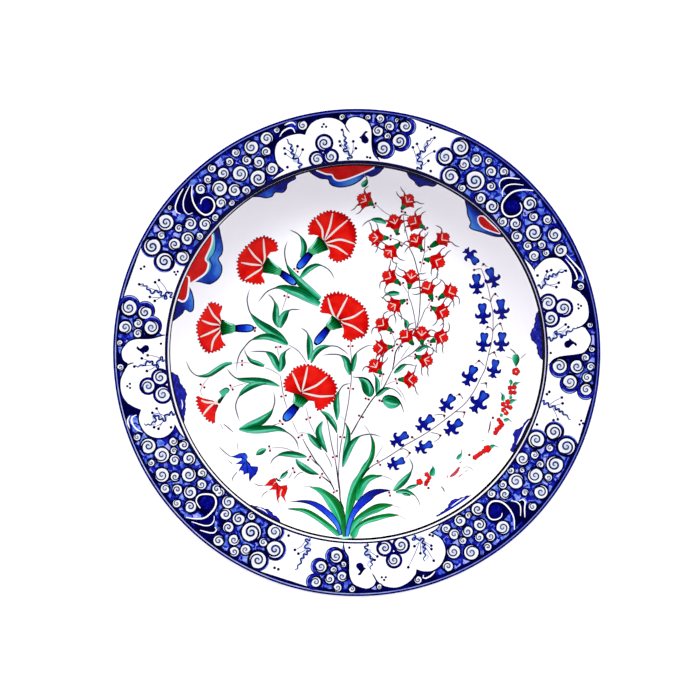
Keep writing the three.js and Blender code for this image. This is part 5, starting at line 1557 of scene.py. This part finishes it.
def face_mesh(name, members, flat, place, smooth):
    """One piece's mesh, with a material for each colour and the shade at each corner of each triangle."""
    used = sorted({corner for triangle, _ in members for corner in triangle})
    number = {corner: i for i, corner in enumerate(used)}
    mesh = bpy.data.meshes.new(name)
    mesh.from_pydata([tuple(place[c] * MM) for c in used], [],
                     [[number[c] for c in triangle] for triangle, _ in members])
    colours = sorted({top.colour for _, top in members})
    for colour in colours:
        mesh.materials.append(material(colour))
    for polygon, (_, top) in zip(mesh.polygons, members):
        polygon.material_index = colours.index(top.colour)
        polygon.use_smooth = True
    values = [float(top.shade(*flat[corner]) if callable(top.shade) else top.shade)
              for triangle, top in members for corner in triangle]
    mesh.attributes.new("shade", "FLOAT", "CORNER").data.foreach_set("value", values)
    mesh.normals_split_custom_set_from_vertices([tuple(smooth[c]) for c in used])
    return mesh


def face_pieces():
    """Builds one mesh for each painted piece; neighbours share their edge points and normals exactly."""
    flat, corners, owners = inlay()
    tops = [shapes[owner] if owner >= 0 else BARE for owner in owners]
    place, smooth = surface(flat, corners, tops)
    groups = {}
    for triangle, top in zip(corners.tolist(), tops):
        piece = piece_of(flat[triangle].mean(axis=0), top)
        groups.setdefault(piece, []).append((triangle, top))
    return {piece: add_object(piece, face_mesh(piece, members, flat, place, smooth))
            for piece, members in groups.items()}


def add_object(name, data):
    made = bpy.data.objects.new(name, data)
    bpy.context.scene.collection.objects.link(made)
    return made


def lathe(name, profile, colour):
    """A closed solid of revolution from a section that starts and ends on the axis or closes on itself."""
    rings, points = [], []
    for radius, height in profile:
        first = len(points)
        if radius < 1e-6:
            rings.append([first] * LATHE_AROUND)
            points.append((0.0, 0.0, height))
        else:
            rings.append(range(first, first + LATHE_AROUND))
            points += [(*polar(360 * i / LATHE_AROUND, radius), height) for i in range(LATHE_AROUND)]
    closes = profile[0][0] > 1e-6
    faces = []
    for a, b in zip(rings, rings[1:] + rings[:1] if closes else rings[1:]):
        for i in range(LATHE_AROUND):
            j = (i + 1) % LATHE_AROUND
            faces.append(list(dict.fromkeys((a[i], a[j], b[j], b[i]))))
    points = np.array(points)
    points[:, 2] += handmade(points[:, 0], points[:, 1])
    mesh = bpy.data.meshes.new(name)
    mesh.from_pydata([tuple(p * MM) for p in points], [], faces)
    mesh.materials.append(material(colour))
    mesh.shade_smooth()
    mesh.set_sharp_from_angle(angle=math.radians(40))
    mesh.update()
    return add_object(name, mesh)


BACK = [(146, 39.9), (134, 37.6), (124, 35.9), (117, 32), (109, 23.5), (99, 13.5), (89, 7.4), (80, 5.95),
    (76.6, 5.9)]
GLAZE = 0.4
THROWING_PITCH = 5.5
THROWING_DEPTH = 0.13
BODY_UNDER_FACE = 0.45
UNDER_Z = 5.9


def body():
    """The thrown dish under the painting, glazed on its back, with the faint rings of the throwing."""
    line = catmull(BACK, step=0.7)
    thickness = []
    for radius, height in line:
        fade = max(0, min(1, (radius - 77) / 6, (147 - radius) / 4))
        turn = 2 * math.pi * (radius + height) / THROWING_PITCH
        thickness.append(GLAZE + THROWING_DEPTH * fade * math.sin(turn))
    inner = [(r, float(face_height(r)) - BODY_UNDER_FACE) for r in range(0, 148, 2)]
    lip = [(148.2, 43.2), (149.0, 42.9), (149.3, 42.3), (149.0, 41.6), LIP_LINE[-1]]
    under = [(74, UNDER_Z), (0, UNDER_Z)]
    return lathe("plate_body", inner + lip + beside(line, thickness) + under, "back_glaze")


FOOT_INNER = 69
WIRE_HOLES = (84, 96)
HOLE_RADIUS = 1.5
HOLE_Z = 3


def foot():
    """The turned foot: bare clay, worn round where it stands, with two small holes for a hanging wire."""
    section = [(FOOT_INNER, FOOT_TOP), (FOOT_INNER, 2.2), (FOOT_INNER + 0.35, 1.0), (FOOT_INNER + 0.9, 0.3),
               (FOOT_INNER + 1.6, 0.0), (FOOT_OUTER - 1.6, 0.0), (FOOT_OUTER - 0.9, 0.3),
               (FOOT_OUTER - 0.35, 1.0), (FOOT_OUTER, 2.2), (FOOT_OUTER, 4.6), (FOOT_OUTER - 0.15, FOOT_TOP)]
    ring = lathe("foot_ring", section[::-1], "bare_clay")
    for angle in WIRE_HOLES:
        place = [c * MM for c in (*polar(angle, (FOOT_INNER + FOOT_OUTER) / 2), HOLE_Z)]
        bpy.ops.mesh.primitive_cylinder_add(vertices=28, radius=HOLE_RADIUS * MM, depth=14 * MM,
                                            location=place, rotation=(0, math.pi / 2, math.radians(angle)))
        cutter = bpy.context.object
        cut = ring.modifiers.new("hole", "BOOLEAN")
        cut.operation = "DIFFERENCE"
        cut.object = cutter
        cut.solver = "EXACT"
        bpy.context.view_layer.update()
        drilled = bpy.data.meshes.new_from_object(ring.evaluated_get(bpy.context.evaluated_depsgraph_get()))
        ring.modifiers.clear()
        ring.data = drilled
        bpy.data.objects.remove(cutter)
    ring.data.name = "foot_ring"
    return ring


def recess():
    """The glazed underside inside the foot, in very shallow rings."""
    top, rings = RECESS_Z + 0.4, 12
    section = [(0, top), (RECESS_RADIUS, top), (RECESS_RADIUS, RECESS_Z + 0.15)]
    for i in range(rings):
        radius = (RECESS_RADIUS - 0.5) * (1 - i / rings)
        section.append((radius, RECESS_Z + 0.05 * math.sin(radius / 3)))
    section.append((0, RECESS_Z))
    return lathe("recess_glaze", section, "back_glaze")


# ---------------------------------------------------------------- materials
def linear(colour):
    """An sRGB colour of 0 to 255 as the linear colour that a shader takes."""
    values = [c / 255 for c in colour]
    return [v / 12.92 if v <= 0.04045 else ((v + 0.055) / 1.055) ** 2.4 for v in values]


EXPOSED = 1.18
# Each glaze colour: its stops along "shade", how much the brush varies it, how coarse the brush is (mm).
COLOURS = {
    "white": ([(0, (250, 250, 252)), (1, (255, 255, 255))], 0.5, 30),
    "cobalt": ([(0, (0, 0, 60)), (0.3, (6, 6, 128)), (0.52, (26, 36, 178)), (0.72, (76, 112, 222)),
                (0.88, (124, 160, 238)), (1, (184, 184, 250))], 0.6, 2.5),
    "navy": ([(0, (0, 0, 22)), (0.5, (0, 0, 58)), (1, (8, 8, 124))], 0.8, 5),
    "rim_light": ([(0, (70, 84, 186)), (0.5, (124, 142, 220)), (1, (214, 222, 250))], 0.6, 6),
    "ring_light": ([(0, (196, 192, 232)), (0.6, (240, 240, 252)), (1, (252, 252, 255))], 0.3, 6),
    "curl_white": ([(0, (160, 182, 212)), (0.5, (222, 230, 242)), (1, (255, 255, 255))], 0.3, 3),
    "curl_line": ([(0, (4, 6, 70)), (0.4, (24, 38, 100)), (0.75, (82, 102, 140)), (1, (130, 146, 172))],
                  0.35, 3),
    "pale_blue": ([(0, (170, 192, 222)), (1, (212, 226, 240))], 0.8, 4),
    "twig_blue": ([(0, (10, 10, 90)), (0.5, (40, 70, 190)), (1, (120, 160, 230))], 0.9, 2.5),
    "azure": ([(0, (4, 6, 110)), (0.5, (14, 46, 206)), (1, (64, 140, 248))], 0.3, 5),
    "blue": ([(0, (4, 4, 92)), (0.5, (12, 22, 156)), (1, (38, 88, 216))], 0.4, 4),
    "red": ([(0, (128, 0, 4)), (0.35, (184, 4, 4)), (0.7, (220, 12, 10)), (1, (242, 34, 24))], 0.5, 6),
    "sky": ([(0, (6, 18, 130)), (0.4, (24, 76, 204)), (1, (84, 158, 240))], 0.5, 5),
    "maroon": ([(0, (70, 0, 14)), (1, (130, 4, 20))], 0.8, 3),
    "vein": ([(0, (255, 196, 186)), (1, (255, 238, 230))], 0.6, 4),
    "leaf": ([(0, (0, 70, 28)), (0.25, (4, 118, 60)), (0.5, (24, 160, 108)), (0.78, (70, 190, 150)),
              (1, (150, 232, 204))], 0.25, 5),
    "tail": ([(0, (26, 44, 40)), (1, (116, 118, 128))], 0.4, 6),
    "tuft": ([(0, (0, 84, 16)), (0.35, (6, 136, 58)), (0.62, (24, 168, 108)), (1, (100, 210, 172))], 0.25, 8),
    "calyx": ([(0, (0, 44, 10)), (0.3, (0, 100, 32)), (0.62, (16, 156, 84)), (1, (110, 212, 164))], 0.25, 4),
    "leaf_line": ([(0, (0, 28, 8)), (1, (4, 52, 26))], 0.6, 4),
    "aqua": ([(0, (120, 222, 190)), (1, (196, 244, 228))], 0.5, 4),
    "turquoise": ([(0, (30, 176, 196)), (1, (120, 226, 226))], 0.4, 5),
    "grey": ([(0, (120, 112, 124)), (1, (176, 168, 176))], 0.9, 6),
    "stem": ([(0, (52, 40, 56)), (1, (112, 98, 112))], 0.9, 8),
    "black": ([(0, (0, 0, 6)), (1, (10, 8, 18))], 0.8, 6),
    "dot": ([(0, (54, 8, 24)), (1, (110, 22, 40))], 0.8, 3),
    "pink": ([(0, (255, 176, 186)), (1, (255, 220, 220))], 0.6, 3),
    "rose": ([(0, (160, 16, 36)), (1, (212, 92, 106))], 0.8, 3),
}
made_materials = {}


def new_material(name):
    made = bpy.data.materials.new(name)
    made.use_nodes = True
    return made, made.node_tree, made.node_tree.nodes["Principled BSDF"]


def feed(tree, node, inputs):
    """Sets a node's inputs: each takes a plain value, or a link from another node's output."""
    for name, value in inputs.items():
        if isinstance(value, bpy.types.NodeSocket):
            tree.links.new(value, node.inputs[name])
        else:
            node.inputs[name].default_value = value


def add(tree, kind, inputs=None, **settings):
    node = tree.nodes.new("ShaderNode" + kind)
    for name, value in settings.items():
        setattr(node, name, value)
    feed(tree, node, inputs or {})
    return node.outputs


def noise(tree, size, detail=3):
    """A noise with features of about size millimetres, in the object's own frame."""
    where = add(tree, "TexCoord")["Object"]
    return add(tree, "TexNoise", {"Vector": where, "Scale": 1 / (size * MM), "Detail": detail})["Fac"]


def maths(tree, operation, *values):
    return add(tree, "Math", dict(enumerate(values)), operation=operation)["Value"]


def multiply(tree, first, second):
    return add(tree, "Mix", {"Factor": 1, "A": first, "B": second}, data_type="RGBA",
               blend_type="MULTIPLY")["Result"]


def bump(tree, height, strength, depth, over=None):
    """A bump of depth millimetres, laid over another one if there is one."""
    inputs = {"Height": height, "Strength": strength, "Distance": depth * MM}
    if over:
        inputs["Normal"] = over
    return add(tree, "Bump", inputs)["Normal"]


def gradient(tree, factor, stops):
    """A colour ramp from its stops, each a place and a linear colour."""
    node = tree.nodes.new("ShaderNodeValToRGB")
    elements = node.color_ramp.elements
    while len(elements) < len(stops):
        elements.new(0.5)
    for element, (at, colour) in zip(elements, stops):
        element.position = at
        element.color = [*colour, 1]
    feed(tree, node, {"Fac": factor})
    return node.outputs["Color"]


def ramp(tree, factor, stops, exposure=1.0):
    return gradient(tree, factor, [(at, [c / exposure for c in linear(colour)]) for at, colour in stops])


def glossy(tree, shader, rough, wave=0.10):
    """The glaze over the paint: a slow waviness, a fine orange peel and a slightly uneven gloss."""
    uneven = add(tree, "MapRange", {"Value": noise(tree, 14), "To Min": rough - 0.04, "To Max": rough + 0.07})
    slow = bump(tree, noise(tree, 9, 2), wave, 0.4)
    peel = bump(tree, noise(tree, 0.9, 1), 0.02, 0.1, slow)
    feed(tree, shader, {"Roughness": uneven["Result"], "Normal": peel, "Coat Weight": 0.03,
                        "Coat Roughness": 0.05, "Specular IOR Level": 0.05})


def glaze(name):
    """One glaze colour: its stops follow the shade that was painted, varied by the brush."""
    stops, brush, size = COLOURS[name]
    made, tree, shader = new_material("glaze_" + name)
    mixed = add(tree, "Attribute", attribute_type="GEOMETRY", attribute_name="shade")["Fac"]
    for grain, share in ((noise(tree, size), 1.5), (noise(tree, 0.7, 2), 0.4)):
        mixed = maths(tree, "MULTIPLY_ADD", maths(tree, "SUBTRACT", grain, 0.5), brush * share, mixed)
    feed(tree, shader, {"Base Color": ramp(tree, mixed, stops, 1.0 if name == "white" else EXPOSED)})
    glossy(tree, shader, 0.14)
    return made


def back_glaze():
    """Clear glaze over white slip, thin enough on the back to show the clay and a few iron specks."""
    made, tree, shader = new_material("glaze_back")
    tone = ramp(tree, noise(tree, 22, 4), [(0.3, (204, 200, 194)), (0.55, (218, 216, 212)),
                                           (0.8, (226, 225, 223))])
    specks = ramp(tree, noise(tree, 1.6, 1), [(0.0, (120, 92, 70)), (0.24, (176, 158, 140)),
                                              (0.27, (255, 255, 255))])
    feed(tree, shader, {"Base Color": multiply(tree, tone, specks)})
    glossy(tree, shader, 0.2, wave=0.16)
    return made


def bare_clay():
    """Fired stoneware paste without glaze: pale buff, matt and grainy."""
    made, tree, shader = new_material("bare_clay")
    tone = ramp(tree, noise(tree, 5, 5), [(0.25, (176, 146, 118)), (0.5, (206, 180, 152)),
                                          (0.75, (222, 202, 178))])
    grain = ramp(tree, noise(tree, 0.6), [(0.3, (214, 206, 198)), (0.6, (255, 255, 255))])
    feed(tree, shader, {"Base Color": multiply(tree, tone, grain), "Roughness": 0.82,
                        "Specular IOR Level": 0.25, "Normal": bump(tree, noise(tree, 0.8, 4), 0.35, 0.15)})
    return made


OTHER_MATERIALS = {"back_glaze": back_glaze, "bare_clay": bare_clay}


def material(name):
    """The material of a colour, made once, when it is first asked for."""
    if name not in made_materials:
        made_materials[name] = OTHER_MATERIALS[name]() if name in OTHER_MATERIALS else glaze(name)
    return made_materials[name]


# ---------------------------------------------------------------- the stage, lights and camera
VIEW_WIDTH = 427
CAMERA_HEIGHT = 8000
CAMERA_SHIFT = (-4.0, 1.2)
SENSOR = 36
FLOOR_HALF = 4.0
FLOOR_GLOW = 0.45
WORLD_LEVEL = 1.04
# The sky's level at the cosine of the angle from straight up, and its tint.
SKY = ((0.0, 0.92), (0.72, 0.86), (0.9, 0.25), (1.0, 0.04))
SKY_TINT = (0.975, 0.955, 1.06)
SUN_STRENGTH = 2.5
SUN_SPREAD = 36
SUN_FROM = (0.02, 1.05, 1.0)
SUN_COLOUR = (1, 0.995, 0.985)


def stage():
    """A plain pale floor under the plate."""
    made, tree, shader = new_material("floor_white")
    tone = ramp(tree, noise(tree, 400), [(0, (249, 249, 250)), (1, (253, 253, 253))])
    feed(tree, shader, {"Base Color": tone, "Roughness": 0.9, "Specular IOR Level": 0.1,
                        "Emission Color": (1, 1, 1, 1), "Emission Strength": FLOOR_GLOW})
    mesh = bpy.data.meshes.new("floor")
    mesh.from_pydata([(x * FLOOR_HALF, y * FLOOR_HALF, 0) for x, y in ((-1, -1), (1, -1), (1, 1), (-1, 1))],
                     [], [(0, 1, 2, 3)])
    mesh.materials.append(made)
    floor = add_object("floor", mesh)


def lights():
    """A pale studio all round, darker overhead, and one broad soft sun."""
    world = bpy.data.worlds.new("studio")
    bpy.context.scene.world = world
    world.use_nodes = True
    tree = world.node_tree
    up = add(tree, "SeparateXYZ", {"Vector": add(tree, "TexCoord")["Generated"]})["Z"]
    sky = gradient(tree, up, [(at, [level * tint for tint in SKY_TINT]) for at, level in SKY])
    feed(tree, tree.nodes["Background"], {"Color": sky, "Strength": WORLD_LEVEL})
    lamp = bpy.data.lights.new("key", "SUN")
    lamp.energy = SUN_STRENGTH
    lamp.angle = math.radians(SUN_SPREAD)
    lamp.color = SUN_COLOUR
    light = add_object("key", lamp)
    light.rotation_euler = (-Vector(SUN_FROM)).to_track_quat("-Z", "Y").to_euler()
    light.visible_glossy = False


def camera():
    """A long lens straight above, as far to one side as the photo was framed."""
    data = bpy.data.cameras.new("camera")
    data.sensor_width = SENSOR
    data.lens = SENSOR * CAMERA_HEIGHT / VIEW_WIDTH
    data.clip_end = 40
    view = add_object("camera", data)
    view.location = [c * MM for c in (*CAMERA_SHIFT, FACE_TOP + CAMERA_HEIGHT)]
    scene = bpy.context.scene
    scene.camera = view
    scene.view_settings.view_transform = "Standard"


# ---------------------------------------------------------------- putting it together
def finish_pieces(made):
    """Attaches each piece to the body and hides the CAD nodes that it stands for; the slot listed with each
    piece is not used.
    """
    plain = {
        "plate_body": ("white_glaze", ("plate_body", "back_glaze")),
        "foot_ring": ("fired_clay", ("foot_ring",)),
        "recess_glaze": ("white_glaze", ("recess_glaze",)),
        "rim_east": ("cobalt", ("rim_trefoil_1", "rim_cobalt_band")),
        "rim_north": ("cobalt", ("rim_trefoil_2", "rim_cobalt_band")),
        "rim_west": ("cobalt", ("rim_trefoil_3", "rim_edge_line")),
        "rim_south": ("cobalt", ("rim_trefoil_4", "rim_edge_line", "well_line")),
    }
    for name, piece in made.items():
        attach(piece, BODY)
        slot, nodes = plain.get(name) or PAINTED[name]
        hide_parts(*nodes)


random.seed(41)
rim()
well()
pieces = face_pieces()
pieces["plate_body"] = body()
pieces["foot_ring"] = foot()
pieces["recess_glaze"] = recess()
finish_pieces(pieces)
stage()
lights()
camera()
